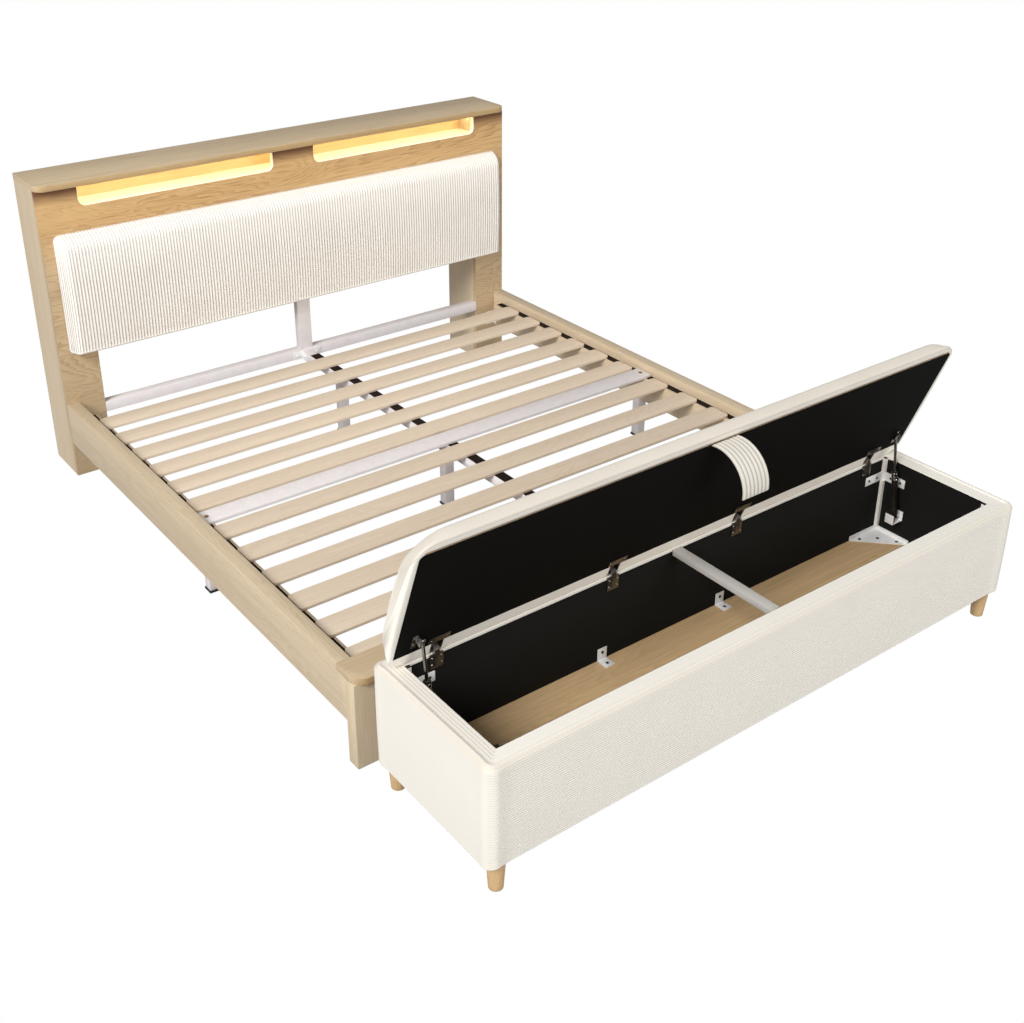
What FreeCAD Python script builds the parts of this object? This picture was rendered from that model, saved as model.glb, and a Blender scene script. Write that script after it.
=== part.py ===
"""A king-size bed with a slotted headboard and a free-standing storage bench at its foot.

Millimetres, +Z up, the bench faces -Y, the headboard stands at +Y, X runs across.
The origin is on the floor, at the middle of the whole set.
"""
import FreeCAD, Part
import os
import re
import Sketcher

# Driving dimensions, each one named once. Angles are in degrees.
SIZES = {
    # Whole set
    "frame_width": 2100,
    "bed_length": 2134,
    "bench_gap": 92,
    "overrun": 5,
    # Headboard
    "headboard_height": 1180,
    "headboard_depth": 220,
    "board": 22,
    "back_board": 12,
    "leg_strip_width": 150,
    "box_bottom": 540,
    "shelf_thickness": 22,
    "shelf_overhang": 25,
    "shelf_corner": 40,
    "slot_height": 81,
    "slot_gap": 184,
    "slot_end_margin": 6,
    "slot_corner": 28,
    "cubby_depth": 120,
    "cubby_board": 15,
    "light_width": 12,
    "light_thickness": 4,
    "light_setback": 30,
    "light_end_margin": 20,
    "pad_side_inset": 42,
    "pad_bottom": 520,
    "pad_top_gap": 92,
    "pad_thickness": 76,
    "pad_crown": 7,
    "pad_round": 26,
    # Bed rails
    "rail_thickness": 48,
    "rail_height": 168,
    "rail_top": 312,
    "ledge_width": 42,
    "ledge_height": 95,
    "ledge_setback": 70,
    "foot_leg_width": 120,
    "foot_leg_depth": 47,
    "foot_rail_thickness": 25,
    "foot_panel_thickness": 18,
    "foot_cap_depth": 110,
    "foot_cap_overhang": 16,
    "foot_cap_thickness": 22,
    "foot_cap_corner": 45,
    # Slats
    "slat_width": 90,
    "slat_thickness": 10,
    "slat_drop": 27,
    "slat_end_gap": 20,
    "slat_corner": 13,
    "head_slat_gap": 140,
    "head_bar_gap": 14,
    "foot_bar_gap": 31,
    "foot_slat_gap": 8,
    "tape_thickness": 2,
    "tape_width": 28,
    "tape_inset": 3,
    # Steel frame
    "tube_wall": 2,
    "cross_tube_depth": 40,
    "cross_tube_height": 42,
    "cross_tube_top": 281,
    "post_width": 60,
    "post_depth": 30,
    "centre_rail_width": 40,
    "centre_rail_height": 40,
    "bar_width": 80,
    "bar_shift": 26,
    "bar_end_gap": 7,
    "bar_screw_inset": 24,
    "bar_screw_radius": 7,
    "bar_screw_head": 2.5,
    "support_leg_size": 38,
    "support_leg_side_inset": 28,
    "head_support_distance": 290,
    "foot_support_setback": 232,
    "glide_size": 44,
    "glide_height": 8,
    "bracket_wing": 45,
    "bracket_height": 62,
    "bracket_steel": 3,
    "bracket_rise": 12,
    "foot_bracket_rise": 36,
    "bolt_radius": 6,
    "bolt_head": 4,
    "bolt_place_share": 0.6,
    # Bench box
    "bench_width": 2068,
    "bench_depth": 510,
    "bench_top": 416,
    "bench_leg_height": 100,
    "bench_leg_top_radius": 27,
    "bench_leg_foot_radius": 20,
    "bench_leg_side_inset": 39,
    "bench_leg_end_inset": 29,
    "bench_board": 18,
    "side_padding": 38,
    "front_padding": 32,
    "rear_padding": 37,
    "top_padding": 12,
    "cover_corner": 20,
    "cover_top_round": 18,
    "lining": 2,
    "lining_top_gap": 1,
    "bench_floor_rise": 12,
    "brace_width": 34,
    "brace_height": 20,
    "brace_drop": 2,
    "corner_plate_leg": 140,
    "corner_plate_flange": 18,
    "corner_plate_steel": 2.5,
    "angle_wing": 92,
    "angle_height": 32,
    "angle_drop": 87,
    "floor_bracket_width": 35,
    "floor_bracket_wing": 42,
    "floor_bracket_left": 286,
    "floor_bracket_right": 206,
    "corner_strip": 12,
    # Lid
    "lid_gap": 5,
    "lid_rear_inset": 17,
    "lid_thickness": 44,
    "lid_crown": 6,
    "lid_corner": 45,
    "lid_edge_round": 16,
    "lid_open": 69.45,
    "lid_board": 18,
    "lid_board_rear": 40,
    "lid_board_front": 24,
    "lid_board_side": 26,
    "lid_board_corner": 8,
    "lid_lining": 1.5,
    "lid_lining_rear": 26,
    "lid_lining_front": 41,
    "lid_lining_side": 23,
    "strap_width": 104,
    "strap_thickness": 6,
    "strap_radius": 110,
    "strap_lean": 32,
    "strap_sweep": 108,
    "strap_root": 5,
    "strap_seam": 32,
    # Hinges
    "hinge_inner_x": 256,
    "hinge_side_inset": 98,
    "cup_width": 40,
    "cup_reach": 34,
    "cup_rear": 13,
    "cup_rise": 10,
    "cup_wall": 1.8,
    "cup_play": 0.2,
    "cup_bottom": 21,
    "cup_ear_width": 68,
    "cup_ear_length": 22,
    "cup_ear_steel": 2,
    "pin_radius": 3,
    "running_clearance": 0.05,
    "barrel_radius": 6.5,
    "arm_width": 16,
    "arm_steel": 5,
    "arm_knee_rise": 10,
    "arm_drop": 65,
    "arm_plate_width": 44,
    "arm_plate_height": 46,
    "arm_plate_steel": 3,
    # Gas struts
    "strut_wall_gap": 26,
    "strut_low_forward": 104,
    "strut_low_drop": 216,
    "strut_high_forward": 88,
    "strut_high_drop": 37,
    "strut_radius": 11,
    "strut_wall": 2.5,
    "strut_length": 170,
    "strut_gland": 10,
    "rod_radius": 5,
    "rod_inside": 30,
    "piston_length": 10,
    "piston_clearance": 0.3,
    "low_eye_radius": 7,
    "low_eye_width": 18,
    "low_pin_radius": 4,
    "high_eye_radius": 5.5,
    "high_eye_width": 14,
    "high_pin_radius": 2.5,
    "high_pin_gap": 0.5,
    "strut_bracket_steel": 2.5,
    "low_bracket_half": 17,
    "low_bracket_cheek_gap": 47,
    "high_bracket_width": 16,
    "high_bracket_length": 50,
    "high_bracket_lug": 30,
    "high_bracket_tip": 8,
}

SLATS_PER_HALF = 6

# Places and sizes that follow from the driving dimensions.
PLACES = {
    "half_width": "frame_width / 2",
    "back_face": "(headboard_depth + bed_length + bench_gap + bench_depth) / 2",
    "head_face": "back_face - headboard_depth",
    "foot_face": "head_face - bed_length",
    "shelf_bottom": "headboard_height - shelf_thickness",
    "slot_bottom": "shelf_bottom - slot_height",
    "panel_half": "half_width - leg_strip_width",
    "pad_half": "half_width - pad_side_inset",
    "pad_height": "slot_bottom - pad_top_gap - pad_bottom",
    "pad_arc": "pad_height * pad_height / (8 * pad_crown) + pad_crown / 2",
    "rail_inner": "half_width - rail_thickness",
    "rail_bottom": "rail_top - rail_height",
    "rail_end": "foot_face + foot_leg_depth",
    "foot_rail_face": "rail_end + foot_rail_thickness",
    "foot_cap_bottom": "rail_top - foot_cap_thickness",
    "slat_top": "rail_top - slat_drop",
    "slat_bottom": "slat_top - slat_thickness",
    "slat_half": "rail_inner - slat_end_gap",
    "ledge_top": "slat_bottom - tape_thickness",
    "ledge_inner": "rail_inner - ledge_width",
    "ledge_start": "head_face - ledge_setback",
    "bar_y": "(head_face + foot_rail_face) / 2 - bar_shift",
    "bar_distance": "head_face - bar_y",
    "bar_head_edge": "bar_y + bar_width / 2",
    "bar_foot_edge": "bar_y - bar_width / 2",
    "bar_half": "rail_inner - bar_end_gap",
    "head_slat_first": "head_slat_gap + slat_width / 2",
    "head_slat_last": "head_face - bar_head_edge - head_bar_gap - slat_width / 2",
    "head_slat_pitch": f"(head_slat_last - head_slat_first) / {SLATS_PER_HALF - 1}",
    "foot_slat_first": "head_face - bar_foot_edge + foot_bar_gap + slat_width / 2",
    "foot_slat_last": "head_face - foot_rail_face - foot_slat_gap - slat_width / 2",
    "foot_slat_pitch": f"(foot_slat_last - foot_slat_first) / {SLATS_PER_HALF - 1}",
    "foot_support_distance": "head_face - foot_rail_face - foot_support_setback",
    "bar_thickness": "slat_thickness + tape_thickness",
    "centre_rail_bottom": "ledge_top - centre_rail_height",
    "bench_rear": "foot_face - bench_gap",
    "bench_front": "bench_rear - bench_depth",
    "bench_half": "bench_width / 2",
    "wall_outer_x": "bench_half - side_padding",
    "wall_inner_x": "wall_outer_x - bench_board",
    "wall_front_y": "bench_front + front_padding",
    "wall_rear_y": "bench_rear - rear_padding",
    "inside_front_y": "wall_front_y + bench_board",
    "inside_rear_y": "wall_rear_y - bench_board",
    "wall_top": "bench_top - top_padding",
    "floor_top": "bench_leg_height + bench_floor_rise + bench_board",
    "lining_x": "wall_inner_x - lining",
    "lining_front_y": "inside_front_y + lining",
    "lining_rear_y": "inside_rear_y - lining",
    "lining_top": "bench_top - lining_top_gap",
    "brace_top": "bench_top - brace_drop",
    "angle_bottom": "bench_top - angle_drop",
    "lid_depth": "bench_depth - lid_rear_inset",
    "pivot_y": "bench_rear - lid_rear_inset - lid_thickness / 2",
    "pivot_z": "bench_top + lid_gap + lid_thickness / 2",
    "lid_half_thick": "lid_thickness / 2",
    "lid_front": "lid_depth - lid_half_thick",
    "lid_arc": "lid_depth * lid_depth / (8 * lid_crown) + lid_crown / 2",
    "lid_under": "lid_half_thick + lid_lining",
    "pivot_to_lining": "pivot_y - lining_rear_y",
    "arm_back": "pivot_to_lining + arm_plate_steel",
    "arm_front": "arm_back + arm_steel",
    "hinge_outer_x": "lining_x - hinge_side_inset",
    "strut_x": "lining_x - strut_wall_gap",
    "strut_low_y": "pivot_y - strut_low_forward",
    "strut_low_z": "pivot_z - strut_low_drop",
    "strut_high_y": "pivot_y - strut_high_forward * cos(lid_open) - strut_high_drop * sin(lid_open)",
    "strut_high_z": "pivot_z + strut_high_forward * sin(lid_open) - strut_high_drop * cos(lid_open)",
    "strut_rise": "strut_high_z - strut_low_z",
    "strut_reach": "strut_high_y - strut_low_y",
    "strut_span": "sqrt(strut_rise * strut_rise + strut_reach * strut_reach)",
    "strut_tilt": "atan(strut_reach / strut_rise)",
    "lug_x": "strut_x + high_eye_width / 2 + 2 * high_pin_gap",
}

SIDES = {"left": -1, "right": 1}
TURN_X = FreeCAD.Vector(1, 0, 0)
TURN_Z = FreeCAD.Vector(0, 0, 1)

doc = FreeCAD.newDocument("storage_bed")
sheet = doc.addObject("Spreadsheet::Sheet", "Sizes")
for row, (alias, size) in enumerate(SIZES.items(), 1):
    sheet.set(f"A{row}", alias)
    sheet.set(f"B{row}", str(size))
    sheet.setAlias(f"B{row}", alias)
doc.recompute()

nodes = {}


def expand(text):
    """An expression on the sheet's cells, with every place written out in driving dimensions."""
    def swap(match):
        word = match.group(0)
        if word in PLACES:
            return "(" + expand(PLACES[word]) + ")"
        return "Sizes." + word if word in SIZES else word
    return re.sub(r"[a-z_]+", swap, str(text))


def size_of(text):
    """The number that an expression has now, read back from a spare property."""
    gauge.setExpression("Length", expand(text))
    gauge.recompute()
    return gauge.Length.Value


gauge = doc.addObject("Part::Box", "gauge")


def place(piece, at, turn=None):
    """Binds a piece's position; turn is an axis and an expression for the angle about it."""
    if turn:
        axis, angle = turn
        piece.Placement = FreeCAD.Placement(FreeCAD.Vector(), FreeCAD.Rotation(axis, 1))
        piece.setExpression("Placement.Rotation.Angle", expand(angle))
    for letter, text in zip("xyz", at):
        piece.setExpression("Placement.Base." + letter, expand(text))
    return piece


def block(name, size, at, turn=None):
    """A rectangular board from its lowest corner."""
    piece = doc.addObject("Part::Box", name)
    for edge, text in zip(("Length", "Width", "Height"), size):
        piece.setExpression(edge, expand(text))
    return place(piece, at, turn)


def rod(name, radius, length, at, along="z"):
    """A round bar from the middle of its lower end, along one axis."""
    piece = doc.addObject("Part::Cylinder", name)
    piece.setExpression("Radius", expand(radius))
    piece.setExpression("Height", expand(length))
    turns = {"z": None, "x": (FreeCAD.Vector(0, 1, 0), "90"), "y": (TURN_X, "-90")}
    return place(piece, at, turns[along])


def hex_head(name, radius, length, at, along):
    """A six-sided bolt head from the middle of its lower end, along one axis."""
    piece = doc.addObject("Part::Prism", name)
    piece.Polygon = 6
    piece.setExpression("Circumradius", expand(radius))
    piece.setExpression("Height", expand(length))
    turns = {"x": (FreeCAD.Vector(0, 1, 0), "90"), "y": (TURN_X, "-90")}
    return place(piece, at, turns[along])


def fuse(name, *pieces):
    joined = doc.addObject("Part::MultiFuse", name)
    joined.Shapes = list(pieces)
    return joined


def cut(name, base, *tools):
    piece = doc.addObject("Part::Cut", name)
    piece.Base = base
    piece.Tool = tools[0] if len(tools) == 1 else fuse(name + "_tools", *tools)
    return piece


def common(name, first, second):
    piece = doc.addObject("Part::Common", name)
    piece.Base = first
    piece.Tool = second
    return piece


def tube(name, size, at, along):
    """A square steel tube, open at both ends along one axis."""
    open_axis = "xyz".index(along)
    inner_size = [f"{text} - 2 * tube_wall" for text in size]
    inner_at = [f"{text} + tube_wall" for text in at]
    inner_size[open_axis] = f"{size[open_axis]} + 2 * overrun"
    inner_at[open_axis] = f"{at[open_axis]} - overrun"
    return cut(name, block(name + "_outside", size, at), block(name + "_inside", inner_size, inner_at))


def edges_along(shape, axis, **ends):
    """Numbers of the straight edges along an axis that lie at the named ends of the shape's box."""
    box = shape.BoundBox
    limits = {"x": (box.XMin, box.XMax), "y": (box.YMin, box.YMax), "z": (box.ZMin, box.ZMax)}
    found = []
    for number, edge in enumerate(shape.Edges, 1):
        first, last = edge.firstVertex().Point, edge.lastVertex().Point
        run = last - first
        straight = abs(abs(getattr(run, axis)) - edge.Length) < edge.Length * 1e-6
        middle = (first + last) * 0.5
        placed = all(
            abs(getattr(middle, letter) - limits[letter][end == "max"]) < shape.BoundBox.DiagonalLength * 1e-6
            for letter, end in ends.items())
        if straight and placed:
            found.append(number)
    return found


def rounded(name, base, radius, *picks):
    """A piece with the picked straight edges rounded."""
    doc.recompute()
    piece = doc.addObject("Part::Fillet", name)
    piece.Base = base
    numbers = sorted({number for axis, ends in picks for number in edges_along(base.Shape, axis, **ends)})
    piece.Edges = [(number, SIZES[radius], SIZES[radius]) for number in numbers]
    return piece


def profile(name, plane, corners, depth, at, turn=None):
    """A body padded from a closed outline whose corners are all bound to the sheet."""
    body = doc.addObject("PartDesign::Body", name)
    sketch = body.newObject("Sketcher::SketchObject", name + "_outline")
    origin_plane = [part for part in body.Origin.OriginFeatures if part.Role == plane][0]
    sketch.AttachmentSupport = (origin_plane, [""])
    sketch.MapMode = "FlatFace"
    points = [FreeCAD.Vector(size_of(across), size_of(up), 0) for across, up in corners]
    for number, start in enumerate(points):
        sketch.addGeometry(Part.LineSegment(start, points[(number + 1) % len(points)]), False)
    for number, corner in enumerate(corners):
        following = (number + 1) % len(corners)
        sketch.addConstraint(Sketcher.Constraint("Coincident", number, 2, following, 1))
        for kind, zero_axis, text in (("DistanceX", -2, corner[0]), ("DistanceY", -1, corner[1])):
            if text == "0":
                sketch.addConstraint(Sketcher.Constraint("PointOnObject", number, 1, zero_axis))
                continue
            place_value = points[number].x if kind == "DistanceX" else points[number].y
            index = sketch.addConstraint(Sketcher.Constraint(kind, -1, 1, number, 1, place_value))
            label = f"{kind.lower()}_{number}"
            sketch.renameConstraint(index, label)
            sketch.setExpression("Constraints." + label, expand(text))
    pad = body.newObject("PartDesign::Pad", name + "_pad")
    pad.Profile = sketch
    pad.setExpression("Length", expand(depth))
    doc.recompute()
    return place(body, at, turn)


def node(label, *pieces):
    """Registers one named sub-part; several pieces become a group of separate solids."""
    piece = pieces[0]
    if len(pieces) > 1:
        piece = doc.addObject("Part::Compound", label + "_group")
        piece.Links = list(pieces)
    piece.Label = label
    nodes[label] = piece
    return piece


def lid_node(label, *pieces):
    """A sub-part drawn with the lid shut and the hinge line at the origin, then swung open."""
    piece = node(label, *pieces)
    return place(piece, ("0", "pivot_y", "pivot_z"), (TURN_X, "-lid_open"))


def across(side, inner, outer):
    """Lowest x of a piece that spans inner to outer on one side of the middle."""
    return inner if SIDES[side] > 0 else f"-({outer})"


def make_headboard():
    inside_depth = "headboard_depth - board - back_board"
    for side in SIDES:
        node(f"headboard_side_{side}", block(
            f"side_board_{side}", ("board", "headboard_depth - board", "shelf_bottom"),
            (across(side, "half_width - board", "half_width"), "head_face + board", "0")))
        node(f"headboard_leg_front_{side}", block(
            f"leg_front_{side}", ("leg_strip_width", "board", "shelf_bottom"),
            (across(side, "panel_half", "half_width"), "head_face", "0")))
        node(f"headboard_leg_inner_{side}", block(
            f"leg_inner_{side}", ("board", "headboard_depth - board", "shelf_bottom"),
            (across(side, "panel_half", "panel_half + board"), "head_face + board", "0")))

    node("headboard_leg_backs", *[block(
        f"leg_back_{side}", ("leg_strip_width - 2 * board", "back_board", "shelf_bottom"),
        (across(side, "panel_half + board", "half_width - board"), "back_face - back_board", "0"))
        for side in SIDES])

    shelf = block("shelf_board", ("frame_width", "headboard_depth + shelf_overhang", "shelf_thickness"),
                  ("-half_width", "head_face - shelf_overhang", "shelf_bottom"))
    node("headboard_top_shelf", rounded("shelf_rounded", shelf, "shelf_corner", ("z", {"y": "min"})))

    panel_width = "2 * panel_half"
    panel_top = "shelf_bottom - box_bottom"
    slot_floor = "slot_bottom - box_bottom"
    slot_low = "panel_half - slot_gap / 2"
    slot_high = "panel_half + slot_gap / 2"
    panel_margin = f"{panel_width} - slot_end_margin"
    front = profile("front_panel", "XZ_Plane", [
        ("0", "0"), (panel_width, "0"), (panel_width, panel_top),
        (panel_margin, panel_top), (panel_margin, slot_floor),
        (slot_high, slot_floor), (slot_high, panel_top),
        (slot_low, panel_top), (slot_low, slot_floor),
        ("slot_end_margin", slot_floor), ("slot_end_margin", panel_top), ("0", panel_top),
    ], "board", ("-panel_half", "head_face + board", "box_bottom"))
    node("headboard_front_panel", soften_slots(front))

    node("headboard_back_panel", block(
        "back_board_piece", (panel_width, "back_board", panel_top),
        ("-panel_half", "back_face - back_board", "box_bottom")))
    node("headboard_bottom_board", block(
        "bottom_board_piece", (panel_width, inside_depth, "board"),
        ("-panel_half", "head_face + board", "box_bottom")))
    node("cubby_floor", block(
        "cubby_floor_piece", (panel_width, "cubby_depth - board", "cubby_board"),
        ("-panel_half", "head_face + board", "slot_bottom - cubby_board")))
    node("cubby_back", block(
        "cubby_back_piece", (panel_width, "cubby_board", "slot_height + cubby_board"),
        ("-panel_half", "head_face + cubby_depth", "slot_bottom - cubby_board")))
    light_inner = "slot_gap / 2 + light_end_margin"
    light_outer = "panel_half - slot_end_margin - light_end_margin"
    node("light_strips", *[block(
        f"light_{side}", (f"{light_outer} - ({light_inner})", "light_width", "light_thickness"),
        (across(side, light_inner, light_outer), "head_face + board + light_setback",
         "shelf_bottom - light_thickness")) for side in SIDES])

    slab = block("pad_slab", ("2 * pad_half", "pad_thickness", "pad_height"),
                 ("-pad_half", "head_face - pad_thickness", "pad_bottom"))
    crown_middle = ("-pad_half - overrun", "head_face - pad_thickness + pad_arc", "pad_bottom + pad_height / 2")
    crown = rod("pad_crown_form", "pad_arc", "2 * pad_half + 2 * overrun", crown_middle, "x")
    node("headboard_cushion", rounded(
        "pad_rounded", common("pad_crowned", slab, crown), "pad_round",
        ("z", {"x": "min"}), ("z", {"x": "max"}), ("y", {"x": "min"}), ("y", {"x": "max"}),
        ("x", {"z": "min", "y": "min"}), ("x", {"z": "max", "y": "min"})))


def soften_slots(body):
    """Rounds the lower corners of the light slots."""
    doc.recompute()
    last = body.Tip
    level = size_of("slot_bottom - box_bottom")
    numbers = []
    for number, edge in enumerate(last.Shape.Edges, 1):
        first, second = edge.firstVertex().Point, edge.lastVertex().Point
        through = abs(first.x - second.x) + abs(first.z - second.z) < edge.Length * 1e-6
        if through and abs(first.z - level) < edge.Length * 1e-3:
            numbers.append(number)
    fillet = body.newObject("PartDesign::Fillet", "slot_rounding")
    fillet.Base = (last, [f"Edge{number}" for number in numbers])
    fillet.setExpression("Radius", expand("slot_corner"))
    return body


def make_rails():
    for side in SIDES:
        at_x = across(side, "rail_inner", "half_width")
        rail = block(f"rail_{side}", ("rail_thickness", "head_face - rail_end", "rail_height"),
                     (at_x, "rail_end", "rail_bottom"))
        notch = block(f"rail_notch_{side}",
                      ("rail_thickness + 2 * overrun",
                       "foot_cap_depth - foot_cap_overhang - foot_leg_depth + overrun",
                       "foot_cap_thickness + overrun"),
                      (f"{at_x} - overrun", "rail_end - overrun", "foot_cap_bottom"))
        node(f"side_rail_{side}", cut(f"rail_lapped_{side}", rail, notch))
        node(f"slat_ledge_{side}", block(
            f"ledge_{side}", ("ledge_width", "ledge_start - foot_rail_face", "ledge_height"),
            (across(side, "ledge_inner", "rail_inner"), "foot_rail_face", "ledge_top - ledge_height")))
        node(f"foot_leg_{side}", block(
            f"foot_leg_piece_{side}", ("foot_leg_width", "foot_leg_depth", "foot_cap_bottom"),
            (across(side, "half_width - foot_leg_width", "half_width"), "foot_face", "0")))
    node("foot_rail", block(
        "foot_rail_piece", ("2 * rail_inner", "foot_rail_thickness", "foot_cap_bottom - rail_bottom"),
        ("-rail_inner", "rail_end", "rail_bottom")))
    node("foot_panel", block(
        "foot_panel_piece",
        ("2 * (half_width - foot_leg_width)", "foot_panel_thickness", "foot_cap_bottom - rail_bottom"),
        ("foot_leg_width - half_width", "foot_face", "rail_bottom")))
    cap = block("foot_cap_piece", ("frame_width", "foot_cap_depth", "foot_cap_thickness"),
                ("-half_width", "foot_face - foot_cap_overhang", "foot_cap_bottom"))
    node("foot_cap", rounded("foot_cap_rounded", cap, "foot_cap_corner", ("z", {"y": "min"})))


def make_slats():
    for half in ("head", "foot"):
        slats = []
        for number in range(SLATS_PER_HALF):
            middle = f"head_face - {half}_slat_first - {number} * {half}_slat_pitch"
            slat = block(f"slat_{half}_{number}", ("2 * slat_half", "slat_width", "slat_thickness"),
                         ("-slat_half", f"{middle} - slat_width / 2", "slat_bottom"))
            slats.append(rounded(f"slat_rounded_{half}_{number}", slat, "slat_corner", ("z", {})))
        node(f"slats_{half}", *slats)

    head_length = "ledge_start - bar_head_edge"
    foot_length = "bar_foot_edge - foot_rail_face"
    tapes = []
    for side in SIDES:
        at_x = across(side, "rail_inner - tape_inset - tape_width", "rail_inner - tape_inset")
        tapes.append(block(f"tape_head_{side}", ("tape_width", head_length, "tape_thickness"),
                           (at_x, "bar_head_edge", "ledge_top")))
        tapes.append(block(f"tape_foot_{side}", ("tape_width", foot_length, "tape_thickness"),
                           (at_x, "foot_rail_face", "ledge_top")))
    tapes.append(block("tape_head_centre", ("centre_rail_width", head_length, "tape_thickness"),
                       ("-centre_rail_width / 2", "bar_head_edge", "ledge_top")))
    tapes.append(block("tape_foot_centre", ("centre_rail_width", foot_length, "tape_thickness"),
                       ("-centre_rail_width / 2", "foot_rail_face", "ledge_top")))
    node("slat_tapes", *tapes)


def corner_bracket(name, at_x, at_y, at_z, toward_x, toward_y, height):
    """A steel angle in an inside corner, with a bolt head on each wing."""
    def low(start, run, direction):
        return start if direction > 0 else f"{start} - ({run})"
    wing_x = block(name + "_wing_x", ("bracket_wing", "bracket_steel", height),
                   (low(at_x, "bracket_wing", toward_x), low(at_y, "bracket_steel", toward_y), at_z))
    wing_y = block(name + "_wing_y", ("bracket_steel", "bracket_wing", height),
                   (low(at_x, "bracket_steel", toward_x), low(at_y, "bracket_wing", toward_y), at_z))
    middle_z = f"{at_z} + ({height}) / 2"
    bolt_x = hex_head(name + "_bolt_x", "bolt_radius", "bolt_head",
                      (f"{at_x} + {toward_x} * bracket_wing * bolt_place_share",
                       low(f"{at_y} + {toward_y} * bracket_steel", "bolt_head", toward_y), middle_z), "y")
    bolt_y = hex_head(name + "_bolt_y", "bolt_radius", "bolt_head",
                      (low(f"{at_x} + {toward_x} * bracket_steel", "bolt_head", toward_x),
                       f"{at_y} + {toward_y} * bracket_wing * bolt_place_share", middle_z), "x")
    return fuse(name, wing_x, wing_y), [bolt_x, bolt_y]


def make_steel_frame():
    node("head_cross_tube", tube(
        "cross_tube", ("2 * panel_half", "cross_tube_depth", "cross_tube_height"),
        ("-panel_half", "head_face", "cross_tube_top - cross_tube_height"), "x"))
    node("headboard_post", tube(
        "post", ("post_width", "post_depth", "box_bottom - cross_tube_top"),
        ("-post_width / 2", "head_face", "cross_tube_top"), "z"))
    node("centre_rails", tube(
        "centre_rail_head", ("centre_rail_width", "bar_distance", "centre_rail_height"),
        ("-centre_rail_width / 2", "bar_y", "centre_rail_bottom"), "y"), tube(
        "centre_rail_foot", ("centre_rail_width", "bar_y - foot_rail_face", "centre_rail_height"),
        ("-centre_rail_width / 2", "foot_rail_face", "centre_rail_bottom"), "y"))
    node("mid_cross_bar", tube(
        "cross_bar", ("2 * bar_half", "bar_width", "bar_thickness"),
        ("-bar_half", "bar_foot_edge", "ledge_top"), "x"))
    node("bar_screws", *[rod(
        f"bar_screw_{side}", "bar_screw_radius", "bar_screw_head",
        (f"{SIDES[side]} * (bar_half - bar_screw_inset)", "bar_y", "slat_top")) for side in SIDES])

    legs = []
    glides = []
    side_x = "half_width - rail_thickness - support_leg_side_inset"
    stands = [("head", "0", "head_support_distance", "centre_rail_bottom"),
              ("middle", "0", "bar_distance", "centre_rail_bottom"),
              ("foot", "0", "foot_support_distance", "centre_rail_bottom"),
              ("left", f"-({side_x})", "bar_distance", "ledge_top - ledge_height"),
              ("right", side_x, "bar_distance", "ledge_top - ledge_height")]
    for name, at_x, distance, top in stands:
        at_y = f"head_face - {distance}"
        legs.append(tube(
            f"support_leg_{name}", ("support_leg_size", "support_leg_size", f"{top} - glide_height"),
            (f"{at_x} - support_leg_size / 2", f"{at_y} - support_leg_size / 2", "glide_height"), "z"))
        glides.append(block(
            f"glide_{name}", ("glide_size", "glide_size", "glide_height"),
            (f"{at_x} - glide_size / 2", f"{at_y} - glide_size / 2", "0")))
    node("support_legs", *legs)
    node("leg_glides", *glides)

    brackets = []
    bolts = []
    corners = []
    for direction in (-1, 1):
        corners.append((f"head_{direction}", f"{direction} * rail_inner", "head_face",
                        "rail_bottom + bracket_rise", -direction, -1, "bracket_height"))
        corners.append((f"foot_{direction}", f"{direction} * ledge_inner", "foot_rail_face",
                        "rail_bottom + foot_bracket_rise", -direction, 1, "bracket_height"))
        for end, at_y, away in (("head", "head_face", -1), ("foot", "foot_rail_face", 1)):
            corners.append((f"centre_{end}_{direction}", f"{direction} * centre_rail_width / 2", at_y,
                            "cross_tube_top - cross_tube_height", direction, away,
                            "ledge_top - cross_tube_top + cross_tube_height"))
    for name, *where in corners:
        bracket, heads = corner_bracket(f"bracket_{name}".replace("-", "minus_"), *where)
        brackets.append(bracket)
        bolts.extend(heads)
    node("frame_brackets", *brackets)
    node("frame_bolts", *bolts)


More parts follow.
